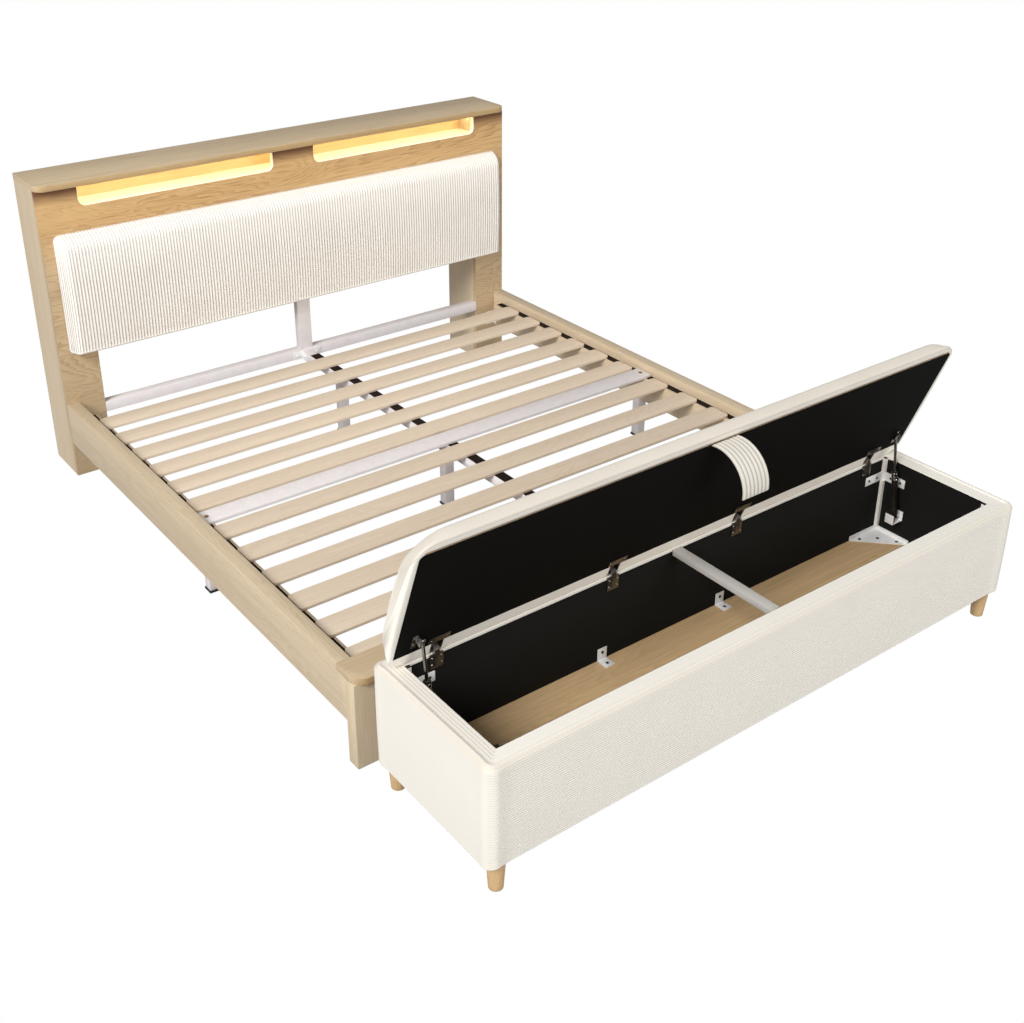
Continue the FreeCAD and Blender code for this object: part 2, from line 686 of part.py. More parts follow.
def make_bench_box():
    wall_height = "wall_top - bench_leg_height"
    for side in SIDES:
        node(f"bench_wall_{side}", block(
            f"wall_{side}", ("bench_board", "wall_rear_y - wall_front_y", wall_height),
            (across(side, "wall_inner_x", "wall_outer_x"), "wall_front_y", "bench_leg_height")))
    for name, at_y in (("front", "wall_front_y"), ("rear", "inside_rear_y")):
        node(f"bench_wall_{name}", block(
            f"wall_{name}", ("2 * wall_inner_x", "bench_board", wall_height),
            ("-wall_inner_x", at_y, "bench_leg_height")))

    shell = block("cover_shell", ("bench_width", "bench_depth", "bench_top - bench_leg_height"),
                  ("-bench_half", "bench_front", "bench_leg_height"))
    shell = rounded("cover_corners", shell, "cover_corner", ("z", {}))
    walls = block(
        "cover_wall_space", ("2 * wall_outer_x", "wall_rear_y - wall_front_y", f"{wall_height} + overrun"),
        ("-wall_outer_x", "wall_front_y", "bench_leg_height - overrun"))
    mouth = block(
        "cover_mouth", ("2 * wall_inner_x", "inside_rear_y - inside_front_y", "bench_top + overrun"),
        ("-wall_inner_x", "inside_front_y", "bench_leg_height - overrun"))
    shell = rounded_rim("cover_rim", shell, "cover_top_round", "bench_top")
    node("bench_cover", cut("cover", shell, walls, mouth))

    lining_height = "lining_top - floor_top"
    node("bench_lining", cut("lining_ring", block(
        "lining_outside", ("2 * wall_inner_x", "inside_rear_y - inside_front_y", lining_height),
        ("-wall_inner_x", "inside_front_y", "floor_top")), block(
        "lining_inside", ("2 * lining_x", "lining_rear_y - lining_front_y", f"{lining_height} + 2 * overrun"),
        ("-lining_x", "lining_front_y", "floor_top - overrun"))))
    node("bench_floor", block(
        "bench_floor_piece", ("2 * wall_inner_x", "inside_rear_y - inside_front_y", "bench_board"),
        ("-wall_inner_x", "inside_front_y", "floor_top - bench_board")))
    node("bench_brace", tube(
        "brace", ("brace_width", "lining_rear_y - lining_front_y", "brace_height"),
        ("-brace_width / 2", "lining_front_y", "brace_top - brace_height"), "y"))

    legs = []
    ends = {"front": "bench_front + bench_leg_end_inset", "rear": "bench_rear - bench_leg_end_inset"}
    for side in SIDES:
        for name, at_y in ends.items():
            leg = doc.addObject("Part::Cone", f"bench_leg_{side}_{name}")
            leg.setExpression("Radius1", expand("bench_leg_foot_radius"))
            leg.setExpression("Radius2", expand("bench_leg_top_radius"))
            leg.setExpression("Height", expand("bench_leg_height"))
            legs.append(place(leg, (f"{SIDES[side]} * (bench_half - bench_leg_side_inset)", at_y, "0")))
    node("bench_legs", *legs)


def rounded_rim(name, base, radius, level):
    """Rounds the whole outer top rim of a shell."""
    doc.recompute()
    piece = doc.addObject("Part::Fillet", name)
    piece.Base = base
    top = size_of(level)
    numbers = [number for number, edge in enumerate(base.Shape.Edges, 1)
               if abs(edge.BoundBox.ZMin - top) < top * 1e-6]
    piece.Edges = [(number, SIZES[radius], SIZES[radius]) for number in numbers]
    return piece


def make_bench_fittings():
    origin = ("0", "0", "0")
    plates = []
    angles = []
    strips = []
    corners = [("lining_x", "lining_rear_y", "180"), ("-lining_x", "lining_rear_y", "270"),
               ("-lining_x", "lining_front_y", "0"), ("lining_x", "lining_front_y", "90")]
    for number, (at_x, at_y, turn) in enumerate(corners):
        plate = profile(f"plate_{number}", "XY_Plane", [
            ("0", "0"), ("corner_plate_leg", "0"), ("0", "corner_plate_leg")],
            "corner_plate_steel", origin)
        flange_x = block(
            f"plate_flange_x_{number}", ("corner_plate_leg", "corner_plate_steel", "corner_plate_flange"), origin)
        flange_y = block(
            f"plate_flange_y_{number}", ("corner_plate_steel", "corner_plate_leg", "corner_plate_flange"), origin)
        plates.append(place(fuse(f"corner_plate_{number}", plate, flange_x, flange_y),
                            (at_x, at_y, "floor_top"), (TURN_Z, turn)))
        low = "floor_top + corner_plate_flange"
        runs = [("whole", low, "lining_top")]
        if at_y == "lining_rear_y":
            wing_x = block(f"angle_x_{number}", ("angle_wing", "corner_plate_steel", "angle_height"), origin)
            wing_y = block(f"angle_y_{number}", ("corner_plate_steel", "angle_wing", "angle_height"), origin)
            angle = fuse(f"angle_{number}", wing_x, wing_y)
            angles.append(place(angle, (at_x, at_y, "angle_bottom"), (TURN_Z, turn)))
            runs = [("low", low, "angle_bottom"), ("high", "angle_bottom + angle_height", "lining_top")]
        for part, start, end in runs:
            strips.append(block(
                f"strip_{part}_{number}", ("corner_strip", "corner_strip", f"{end} - ({start})"),
                (at_x, at_y, start), (TURN_Z, turn)))
    node("bench_corner_plates", *plates)
    node("bench_corner_strips", *strips)

    for name, at_x in (("left", "-floor_bracket_left"), ("right", "floor_bracket_right")):
        for wall, at_y, turn in (("rear", "lining_rear_y", "180"), ("front", "lining_front_y", "0")):
            shift = "floor_bracket_width / 2" if wall == "rear" else "-floor_bracket_width / 2"
            foot = block(f"floor_bracket_foot_{name}_{wall}",
                         ("floor_bracket_width", "floor_bracket_wing", "corner_plate_steel"), origin)
            back = block(f"floor_bracket_back_{name}_{wall}",
                         ("floor_bracket_width", "corner_plate_steel", "floor_bracket_wing"), origin)
            angles.append(place(fuse(f"floor_bracket_{name}_{wall}", foot, back),
                                (f"{at_x} + {shift}", at_y, "floor_top"), (TURN_Z, turn)))
    node("bench_brackets", *angles)

    arms = []
    for number, middle in enumerate(hinge_places()):
        arm = profile(f"arm_{number}", "YZ_Plane", [
            ("0", "0"), ("arm_steel", "0"), ("arm_steel", "arm_drop - arm_steel - arm_knee_rise - arm_steel"),
            ("arm_front + arm_steel / 2", "arm_drop - arm_steel / 2"),
            ("arm_front - arm_steel / 2", "arm_drop + arm_steel / 2"),
            ("0", "arm_drop - arm_knee_rise - arm_steel / 2")],
            "arm_width", (f"{middle} - arm_width / 2", "pivot_y - arm_front", "pivot_z - arm_drop"))
        barrel = rod(f"arm_barrel_{number}", "barrel_radius", "arm_width",
                     (f"{middle} - arm_width / 2", "pivot_y", "pivot_z"), "x")
        plate = block(f"arm_plate_{number}", ("arm_plate_width", "arm_plate_steel", "arm_plate_height"),
                      (f"{middle} - arm_plate_width / 2", "pivot_y - arm_back",
                       "bench_top - lining_top_gap - arm_plate_height"))
        bore = rod(f"arm_bore_{number}", "pin_radius + running_clearance", "arm_width + 2 * overrun",
                   (f"{middle} - arm_width / 2 - overrun", "pivot_y", "pivot_z"), "x")
        arms.append(cut(f"hinge_arm_{number}", fuse(f"arm_joined_{number}", arm, barrel, plate), bore))
    node("bench_hinge_arms", *arms)

    brackets = []
    for side in SIDES:
        middle = f"{SIDES[side]} * strut_x"
        half_gap = "low_bracket_cheek_gap / 2"
        cheek_size = ("strut_bracket_steel", "2 * low_bracket_half", "2 * low_bracket_half")
        low_corner = ("strut_low_y - low_bracket_half", "strut_low_z - low_bracket_half")
        cheeks = [block(f"low_cheek_{side}_{number}", cheek_size, (f"{middle} + {start}", *low_corner))
                  for number, start in enumerate((f"{half_gap}", f"(-{half_gap} - strut_bracket_steel)"))]
        web = block(f"low_web_{side}",
                    ("low_bracket_cheek_gap", "2 * low_bracket_half", "strut_bracket_steel"),
                    (f"{middle} - {half_gap}", *low_corner))
        pin = rod(f"low_pin_{side}", "low_pin_radius", "low_bracket_cheek_gap",
                  (f"{middle} - {half_gap}", "strut_low_y", "strut_low_z"), "x")
        brackets.append(fuse(f"low_bracket_{side}", *cheeks, web, pin))
    node("bench_strut_brackets", *brackets)


def hinge_places():
    return ["-hinge_outer_x", "-hinge_inner_x", "hinge_inner_x", "hinge_outer_x"]


def make_lid():
    slab = block("lid_slab", ("bench_width", "lid_depth", "lid_thickness + lid_crown"),
                 ("-bench_half", "-lid_front", "-lid_half_thick"))
    crown = rod("lid_crown_form", "lid_arc", "bench_width + 2 * overrun",
                ("-bench_half - overrun", "lid_depth / 2 - lid_front",
                 "lid_half_thick + lid_crown - lid_arc"), "x")
    body = common("lid_crowned", slab, crown)
    body = rounded("lid_corners", body, "lid_corner", ("z", {}))
    body = rounded_both_rims("lid_rims", body, "lid_edge_round")
    pockets = [block(f"cup_pocket_{number}",
                     ("cup_width", "cup_reach + cup_rear + cup_play", "lid_under + cup_rise + overrun"),
                     (f"{middle} - cup_width / 2", "-cup_reach", "-lid_under - overrun"))
               for number, middle in enumerate(hinge_places())]
    board_size = ("2 * (bench_half - lid_board_side)", "lid_front - lid_board_rear - lid_board_front",
                  "lid_board")
    board_at = ("lid_board_side - bench_half", "lid_board_front - lid_front", "-lid_half_thick")
    space = block("lid_board_space", (board_size[0], board_size[1], "lid_board + overrun"),
                  (board_at[0], board_at[1], "-lid_half_thick - overrun"))
    space = rounded("lid_board_room", space, "lid_board_corner", ("z", {}))
    lid_node("lid_cushion", cut("lid_pad", body, space, *pockets))
    board = block("lid_board_piece", board_size, board_at)
    lid_node("lid_panel", rounded("lid_board_rounded", board, "lid_board_corner", ("z", {})))
    lining = block("lid_lining_sheet",
                   ("2 * (bench_half - lid_lining_side)", "lid_front - lid_lining_rear - lid_lining_front",
                    "lid_lining"),
                   ("lid_lining_side - bench_half", "lid_lining_front - lid_front", "-lid_under"))
    lining_cuts = [block(f"lining_pocket_{number}",
                         ("cup_width", "cup_reach + cup_rear + cup_play", "lid_under + cup_rise + overrun"),
                         (f"{middle} - cup_width / 2", "-cup_reach", "-lid_under - overrun"))
                   for number, middle in enumerate(hinge_places())]
    lid_node("lid_lining", cut("lid_lining_piece", lining, *lining_cuts))

    cups = []
    for number, middle in enumerate(hinge_places()):
        half = "(cup_width / 2 - cup_play)"
        reach = "(cup_reach - cup_play)"
        outside = block(f"cup_outside_{number}",
                        (f"2 * {half}", f"{reach} + cup_rear", "cup_bottom + cup_rise - cup_play"),
                        (f"{middle} - {half}", f"-{reach}", "-cup_bottom"))
        inside = block(f"cup_inside_{number}",
                       (f"2 * {half} - 2 * cup_wall", f"{reach} + cup_rear - 2 * cup_wall",
                        "cup_bottom + cup_rise - cup_play - cup_wall + overrun"),
                       (f"{middle} - {half} + cup_wall", f"cup_wall - {reach}", "-cup_bottom - overrun"))
        lip = block(f"cup_lip_{number}",
                    (f"2 * {half}", "cup_wall", "lid_under + cup_ear_steel - cup_bottom"),
                    (f"{middle} - {half}", f"-{reach}", "-lid_under - cup_ear_steel"))
        ear = block(f"cup_ear_{number}", ("cup_ear_width", "cup_ear_length", "cup_ear_steel"),
                    (f"{middle} - cup_ear_width / 2", f"cup_wall - {reach} - cup_ear_length",
                     "-lid_under - cup_ear_steel"))
        pin = rod(f"cup_pin_{number}", "pin_radius", f"2 * {half}", (f"{middle} - {half}", "0", "0"), "x")
        cups.append(fuse(f"cup_{number}", cut(f"cup_shell_{number}", outside, inside), lip, ear, pin))
    lid_node("lid_hinge_cups", *cups)

    brackets = []
    for side in SIDES:
        plate = block(f"high_plate_{side}",
                      ("high_bracket_width", "high_bracket_length", "strut_bracket_steel"),
                      (across(side, "lug_x", "lug_x + high_bracket_width"),
                       "-strut_high_forward - high_bracket_lug / 2", "-lid_under - strut_bracket_steel"))
        lug_height = "strut_high_drop + high_bracket_tip - lid_under"
        lug = block(f"high_lug_{side}", ("strut_bracket_steel", "high_bracket_lug", lug_height),
                    (across(side, "lug_x", "lug_x + strut_bracket_steel"),
                     "-strut_high_forward - high_bracket_lug / 2", "-strut_high_drop - high_bracket_tip"))
        brackets.append(fuse(f"high_bracket_{side}", plate, lug))
    lid_node("lid_strut_brackets", *brackets)
    make_strap()


def rounded_both_rims(name, base, radius):
    """Rounds every edge that isn't upright, so the slab gets soft edges all round."""
    doc.recompute()
    piece = doc.addObject("Part::Fillet", name)
    piece.Base = base
    upright = set(edges_along(base.Shape, "z"))
    numbers = [number for number in range(1, len(base.Shape.Edges) + 1) if number not in upright]
    piece.Edges = [(number, SIZES[radius], SIZES[radius]) for number in numbers]
    return piece


def make_strap():
    """A stiff strap that leaves the lid's front seam and bends down in one arc."""
    strap = doc.addObject("Part::Feature", "strap_piece")
    radius = SIZES["strap_radius"]
    inner = radius - SIZES["strap_thickness"]
    lean = SIZES["strap_lean"]
    end = lean - SIZES["strap_sweep"]
    start = lean + SIZES["strap_root"]
    width = SIZES["strap_width"]
    seam = SIZES["bench_depth"] - SIZES["lid_rear_inset"] - SIZES["lid_thickness"] / 2 - SIZES["strap_seam"]
    under = SIZES["lid_thickness"] / 2

    def arm(reach, angle):
        return FreeCAD.Rotation(TURN_X, -angle).multVec(FreeCAD.Vector(0, -reach, 0))

    centre = FreeCAD.Vector(-width / 2, -seam, -under) - arm(radius, lean)
    corners = [centre + arm(radius, start), centre + arm(radius, end),
               centre + arm(inner, end), centre + arm(inner, start)]
    middle = (start + end) / 2
    outer_arc = Part.Arc(corners[0], centre + arm(radius, middle), corners[1]).toShape()
    tip = Part.LineSegment(corners[1], corners[2]).toShape()
    inner_arc = Part.Arc(corners[2], centre + arm(inner, middle), corners[3]).toShape()
    root = Part.LineSegment(corners[3], corners[0]).toShape()
    face = Part.Face(Part.Wire([outer_arc, tip, inner_arc, root]))
    ribbon = face.extrude(FreeCAD.Vector(width, 0, 0))
    room = Part.makeBox(width, 2 * radius + seam, 2 * radius,
                        FreeCAD.Vector(-width / 2, -seam - radius, -under - 2 * radius))
    strap.Shape = ribbon.common(room)
    lid_node("lid_strap", strap)


def make_struts():
    for side in SIDES:
        sign = SIDES[side]
        eye = rod(f"low_eye_{side}", "low_eye_radius", "low_eye_width", ("-low_eye_width / 2", "0", "0"), "x")
        barrel = rod(f"strut_barrel_{side}", "strut_radius", "strut_length - low_eye_radius",
                     ("0", "0", "low_eye_radius"))
        cavity = rod(f"strut_cavity_{side}", "strut_radius - strut_wall",
                     "strut_length - low_eye_radius - 2 * strut_gland",
                     ("0", "0", "low_eye_radius + strut_gland"))
        gland = rod(f"strut_gland_{side}", "rod_radius + running_clearance", "strut_gland + overrun",
                    ("0", "0", "strut_length - strut_gland - running_clearance"))
        hole = rod(f"low_eye_hole_{side}", "low_pin_radius + running_clearance",
                   "low_eye_width + 2 * overrun", ("-low_eye_width / 2 - overrun", "0", "0"), "x")
        link = block(f"low_eye_link_{side}",
                     ("low_eye_width", "low_eye_radius", "low_eye_radius + strut_wall"),
                     ("-low_eye_width / 2", "-low_eye_radius / 2", "0"))
        body = fuse(f"strut_body_{side}", eye, link, barrel)
        cylinder = cut(f"strut_cylinder_{side}", body, cavity, gland, hole)
        low = (f"{sign} * strut_x", "strut_low_y", "strut_low_z")
        node(f"strut_{side}_cylinder", cylinder)
        place(cylinder, low, (TURN_X, "-strut_tilt"))

        shaft = rod(f"rod_shaft_{side}", "rod_radius", "strut_span - strut_length + rod_inside",
                    ("0", "0", "strut_length - rod_inside"))
        piston = rod(f"rod_piston_{side}", "strut_radius - strut_wall - piston_clearance", "piston_length",
                     ("0", "0", "strut_length - rod_inside"))
        high_eye = rod(f"high_eye_{side}", "high_eye_radius", "high_eye_width",
                       ("-high_eye_width / 2", "0", "strut_span"), "x")
        pin_start = across(side, "high_eye_width / 2", "high_eye_width / 2 + high_pin_gap")
        high_pin = rod(f"high_pin_{side}", "high_pin_radius", "high_pin_gap",
                       (pin_start, "0", "strut_span"), "x")
        slider = fuse(f"strut_rod_{side}", shaft, piston, high_eye, high_pin)
        node(f"strut_{side}_rod", slider)
        place(slider, low, (TURN_X, "-strut_tilt"))


def check_document():
    """Stops if any object failed to rebuild or any sub-part isn't a valid solid."""
    for thing in doc.Objects:
        if {"Invalid", "Error"} & set(thing.State):
            raise RuntimeError(f"{thing.Label} failed: {thing.State}")
    for label, piece in nodes.items():
        shape = piece.Shape
        if shape.isNull() or not shape.isValid() or not shape.Solids:
            raise RuntimeError(f"{label} is not a valid solid")


make_headboard()
make_rails()
make_slats()
make_steel_frame()
make_bench_box()
make_bench_fittings()
make_lid()
make_struts()
doc.recompute()
check_document()

os.makedirs("parts", exist_ok=True)
for label, piece in nodes.items():
    piece.Shape.exportStep(os.path.join("parts", label + ".step"))
print(len(nodes), "nodes")
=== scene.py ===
"""A wide oak bed with a lit, padded headboard, a slatted base and a separate ribbed storage bench.

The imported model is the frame. Cloth, linings, the pull strap, screws and trims are surfaces worked out here.
Metres, +Z up, the bench faces -Y, the headboard stands at +Y, X runs across.
"""

import bpy
import numpy as np
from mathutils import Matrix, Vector


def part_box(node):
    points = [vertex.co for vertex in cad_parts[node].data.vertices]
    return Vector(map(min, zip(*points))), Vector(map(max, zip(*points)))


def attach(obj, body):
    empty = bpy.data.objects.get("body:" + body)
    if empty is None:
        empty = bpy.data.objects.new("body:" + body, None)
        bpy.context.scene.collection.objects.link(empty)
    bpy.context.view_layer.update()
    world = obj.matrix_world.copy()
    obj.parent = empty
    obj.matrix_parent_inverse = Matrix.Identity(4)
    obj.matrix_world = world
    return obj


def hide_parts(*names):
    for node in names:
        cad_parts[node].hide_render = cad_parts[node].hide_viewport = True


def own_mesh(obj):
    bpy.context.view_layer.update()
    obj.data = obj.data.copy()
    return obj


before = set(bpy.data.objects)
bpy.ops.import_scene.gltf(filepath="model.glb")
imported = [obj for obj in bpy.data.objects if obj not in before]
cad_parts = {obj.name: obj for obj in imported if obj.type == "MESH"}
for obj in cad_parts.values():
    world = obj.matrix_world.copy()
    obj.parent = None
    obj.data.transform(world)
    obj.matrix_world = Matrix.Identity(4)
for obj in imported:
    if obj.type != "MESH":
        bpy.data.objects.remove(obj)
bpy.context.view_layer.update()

# Lid: its hinge line, how far it stands open at rest, its edges when shut and half its thickness.
HINGE_Y, HINGE_Z = -1.007, 0.443
LID_OPEN = np.radians(69.45)
LID_FRONT, LID_REAR, LID_HALF = -0.471, 0.022, 0.022
LID_NORMAL = np.array([0.0, np.sin(LID_OPEN), np.cos(LID_OPEN)])

# Hinges: their places across, half a cup's width and the cups' front edge when the lid is shut.
HINGES = np.array([-0.878, -0.256, 0.256, 0.878])
CUP_HALF, CUP_FRONT = 0.0202, -0.0342

# Gas struts: the lower pivots and the lean at rest.
STRUT_X, STRUT_FOOT_Y, STRUT_FOOT_Z = 0.950, -1.111, 0.227
STRUT_TILT = np.radians(7.675)

# Cloth: spacing and height of the ribs on the headboard pad, on the bench and on its lid.
PAD_RIB, PAD_RIB_HEIGHT = 0.0123, 0.0026
BENCH_RIB, BENCH_RIB_HEIGHT, LID_RIB_HEIGHT = 0.0085, 0.0008, 0.0011

# Light that the floor and the sky give the bed; the camera sees both as plain white.
FLOOR_LIGHT, SKY_LIGHT = 0.42, 0.31


def corners_of(node):
    """The low and the high corner of a CAD node's box."""
    return [np.array(corner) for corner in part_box(node)]


def lid_place(points):
    """Turns points drawn with the lid shut and the hinge line at the origin into the open lid's place."""
    x, y, z = np.moveaxis(np.asarray(points, float), -1, 0)
    c, s = np.cos(LID_OPEN), np.sin(LID_OPEN)
    return np.stack([x, HINGE_Y + y * c + z * s, HINGE_Z - y * s + z * c], -1)


def at_cups(x):
    """Marks the places across that lie at a hinge cup."""
    return np.any(np.abs(x[:, None] - HINGES) < CUP_HALF, axis=1)


def smooth(t):
    """Eases from 0 to 1 with level ends: 3t^2 - 2t^3."""
    t = np.clip(t, 0, 1)
    return t * t * (3 - 2 * t)


def rib(distance, pitch):
    """Height of corduroy across its ribs, 0 to 1: a power of |sin|, with round crests and narrow valleys."""
    return np.abs(np.sin(np.pi * distance / pitch)) ** 0.62


def quarter(depth, radius):
    """How far a rounded edge falls back at a depth from the end: r - sqrt(r^2 - (r - d)^2), none past r."""
    gone = np.clip(radius - depth, 0, radius)
    return radius - np.sqrt(np.maximum(radius ** 2 - gone ** 2, 0))


def mesh_of(name, points, faces, **values):
    """A smooth mesh from an array of points and an array of faces; values are numbers kept at each point."""
    points = np.asarray(points, np.float32).reshape(-1, 3)
    faces = np.asarray(faces, np.int32)
    sides = faces.shape[1]
    mesh = bpy.data.meshes.new(name)
    mesh.vertices.add(len(points))
    mesh.vertices.foreach_set("co", points.ravel())
    mesh.loops.add(faces.size)
    mesh.loops.foreach_set("vertex_index", faces.ravel())
    mesh.polygons.add(len(faces))
    mesh.polygons.foreach_set("loop_start", np.arange(len(faces), dtype=np.int32) * sides)
    mesh.polygons.foreach_set("use_smooth", np.ones(len(faces), bool))
    mesh.update(calc_edges=True)
    mesh.validate()
    for label, numbers in values.items():
        layer = mesh.attributes.new(label, "FLOAT", "POINT")
        layer.data.foreach_set("value", np.asarray(numbers, np.float32).ravel())
    piece = bpy.data.objects.new(name, mesh)
    bpy.context.scene.collection.objects.link(piece)
    return piece


def grid_faces(rows, cols, around=False):
    """Four-sided faces of a grid of points; around joins the last column to the first."""
    numbers = np.arange(rows * cols).reshape(rows, cols)
    if around:
        numbers = np.hstack([numbers, numbers[:, :1]])
    return np.stack([numbers[:-1, :-1], numbers[:-1, 1:], numbers[1:, 1:], numbers[1:, :-1]], -1)


def tube_faces(rows, cols):
    """Faces of a tube whose rows are rings of an even count of points, both ends closed by faces across."""
    step = np.arange(cols // 2 - 1)
    end = np.stack([step, step + 1, cols - 2 - step, cols - 1 - step], -1)
    sides = grid_faces(rows, cols, around=True).reshape(-1, 4)
    return np.concatenate([sides, end[:, ::-1], end + (rows - 1) * cols])


def ring_faces(rows, cols):
    """Faces of a ring-shaped solid: the rows are rings of points, and the last row joins the first."""
    return grid_faces(rows + 1, cols, around=True).reshape(-1, 4) % (rows * cols)


def many(name, shapes):
    """One mesh from several (points, faces) pairs with faces of four sides."""
    points, faces, count = [], [], 0
    for part_points, part_faces in shapes:
        part_points = np.asarray(part_points).reshape(-1, 3)
        points.append(part_points)
        faces.append(part_faces + count)
        count += len(part_points)
    return mesh_of(name, np.concatenate(points), np.concatenate(faces))


def finer(coarse, rows, cols):
    """A coarse grid of points drawn finer, along a cubic through each point and its neighbours."""
    def along(values, count):
        old = np.linspace(0, 1, len(values))
        new = np.linspace(0, 1, count)
        where = np.clip(np.searchsorted(old, new, side="right") - 1, 0, len(values) - 2)
        t = ((new - old[where]) * (len(values) - 1))[:, None]
        a = values[np.clip(where - 1, 0, None)]
        b, c = values[where], values[where + 1]
        d = values[np.clip(where + 2, None, len(values) - 1)]
        return b + 0.5 * t * (c - a + t * (2 * a - 5 * b + 4 * c - d + t * (3 * (b - c) + d - a)))
    shape = coarse.shape
    step = along(coarse.reshape(shape[0], -1), rows).reshape(rows, shape[1], -1)
    step = np.swapaxes(step, 0, 1)
    step = along(step.reshape(shape[1], -1), cols).reshape(cols, rows, -1)
    return np.swapaxes(step, 0, 1)


def normals_of(points):
    """Outward unit normals of a grid, from the cross product of its two directions."""
    across = np.gradient(points, axis=1)
    along = np.gradient(points, axis=0)
    normal = np.cross(across, along)
    return normal / np.maximum(np.linalg.norm(normal, axis=-1, keepdims=True), 1e-12)


def puffed(points, held, pressure, most, frames):
    """Cloth simulation of a coarse grid blown up from behind: the way outward that each point moves.

    Held marks the sewn points, most caps the way moved, frames is how long the simulation runs.
    """
    rows, cols = points.shape[:2]
    trial = mesh_of("cloth_trial", points, grid_faces(rows, cols).reshape(-1, 4))
    group = trial.vertex_groups.new(name="sewn")
    group.add(np.flatnonzero(held.ravel()).tolist(), 1.0, "REPLACE")
    modifier = trial.modifiers.new("cloth", "CLOTH")
    settings = modifier.settings
    settings.quality = 6
    settings.mass = 0.25
    settings.tension_stiffness = 12
    settings.compression_stiffness = 12
    settings.shear_stiffness = 6
    settings.bending_stiffness = 1.5
    settings.vertex_group_mass = "sewn"
    settings.use_pressure = True
    settings.uniform_pressure_force = pressure
    settings.effector_weights.gravity = 0
    scene = bpy.context.scene
    for number in range(1, frames + 1):
        scene.frame_set(number)
    graph = bpy.context.evaluated_depsgraph_get()
    shape = trial.evaluated_get(graph).to_mesh()
    moved = np.empty(rows * cols * 3, np.float32)
    shape.vertices.foreach_get("co", moved)
    normal = normals_of(points)
    length = np.sum((moved.reshape(rows, cols, 3) - points) * normal, -1, keepdims=True)
    way = normal * np.clip(length, 0, most)
    mesh = trial.data
    bpy.data.objects.remove(trial)
    bpy.data.meshes.remove(mesh)
    scene.frame_set(1)
    return way


# Node trees

def feed(tree, node, wires):
    """Gives each named input of a node a value or another node's output."""
    for key, value in wires.items():
        socket = node.inputs[key]
        if isinstance(value, bpy.types.NodeSocket):
            tree.links.new(value, socket)
        else:
            socket.default_value = value


def put(tree, kind, wires=None, **settings):
    """One node: settings are its own properties, wires go to its inputs."""
    made = tree.nodes.new("ShaderNode" + kind)
    for name, value in settings.items():
        setattr(made, name, value)
    feed(tree, made, wires or {})
    return made


def math_of(tree, operation, first, second=0.0, third=0.0):
    """One step of arithmetic."""
    return put(tree, "Math", {0: first, 1: second, 2: third}, operation=operation).outputs[0]


def times(tree, value, factor):
    """A value times a factor."""
    return math_of(tree, "MULTIPLY", value, factor)


def added(tree, value, factor, base):
    """A value times a factor, added to a base."""
    return math_of(tree, "MULTIPLY_ADD", value, factor, base)


def spread(tree, value, low, high, to_low=0.0, to_high=1.0):
    """A value's stretch from low to high laid over another range, held at the ends."""
    wires = {"Value": value, "From Min": low, "From Max": high, "To Min": to_low, "To Max": to_high}
    return put(tree, "MapRange", wires).outputs["Result"]


def mixed(tree, share, first, second):
    """A colour that goes from the first to the second with the share."""
    return put(tree, "Mix", {0: share, 6: first, 7: second}, data_type="RGBA").outputs[2]


def axis_of(tree, vector, axis):
    """One axis of a vector."""
    return put(tree, "SeparateXYZ", {"Vector": vector}).outputs[axis]


def stretched(tree, vector, scale):
    """A vector scaled along its axes; a small number draws a pattern out."""
    return put(tree, "Mapping", {"Vector": vector, "Scale": scale}).outputs["Vector"]


def noise(tree, vector, scale, detail=3.0, roughness=0.5, distortion=0.0):
    """Cloudy noise, 0 to 1."""
    wires = {"Vector": vector, "Scale": scale, "Detail": detail, "Roughness": roughness,
             "Distortion": distortion}
    return put(tree, "TexNoise", wires).outputs["Fac"]


def bands(tree, vector, direction, scale, distortion, detail=2.0):
    """Waves across a direction, 0 to 1."""
    wires = {"Vector": vector, "Scale": scale, "Distortion": distortion, "Detail": detail}
    return put(tree, "TexWave", wires, bands_direction=direction).outputs["Fac"]


def colour(red, green, blue):
    """A colour given as it shows on a screen, 0 to 255, made linear."""
    share = np.array([red, green, blue]) / 255
    linear = np.where(share <= 0.04045, share / 12.92, ((share + 0.055) / 1.055) ** 2.4)
    return (*linear.tolist(), 1.0)


SOCKETS = {"vector": "NodeSocketVector", "colour": "NodeSocketColor", "value": "NodeSocketFloat"}


def new_group(name, **inputs):
    """A finish's empty node group with named sockets: its tree, its inputs and its output node."""
    tree = bpy.data.node_groups.new(name, "ShaderNodeTree")
    for label, kind in inputs.items():
        tree.interface.new_socket(label, in_out="INPUT", socket_type=SOCKETS[kind])
    for label, kind in (("Color", "colour"), ("Roughness", "value"), ("Height", "value")):
        tree.interface.new_socket(label, in_out="OUTPUT", socket_type=SOCKETS[kind])
    return tree, tree.nodes.new("NodeGroupInput").outputs, tree.nodes.new("NodeGroupOutput")


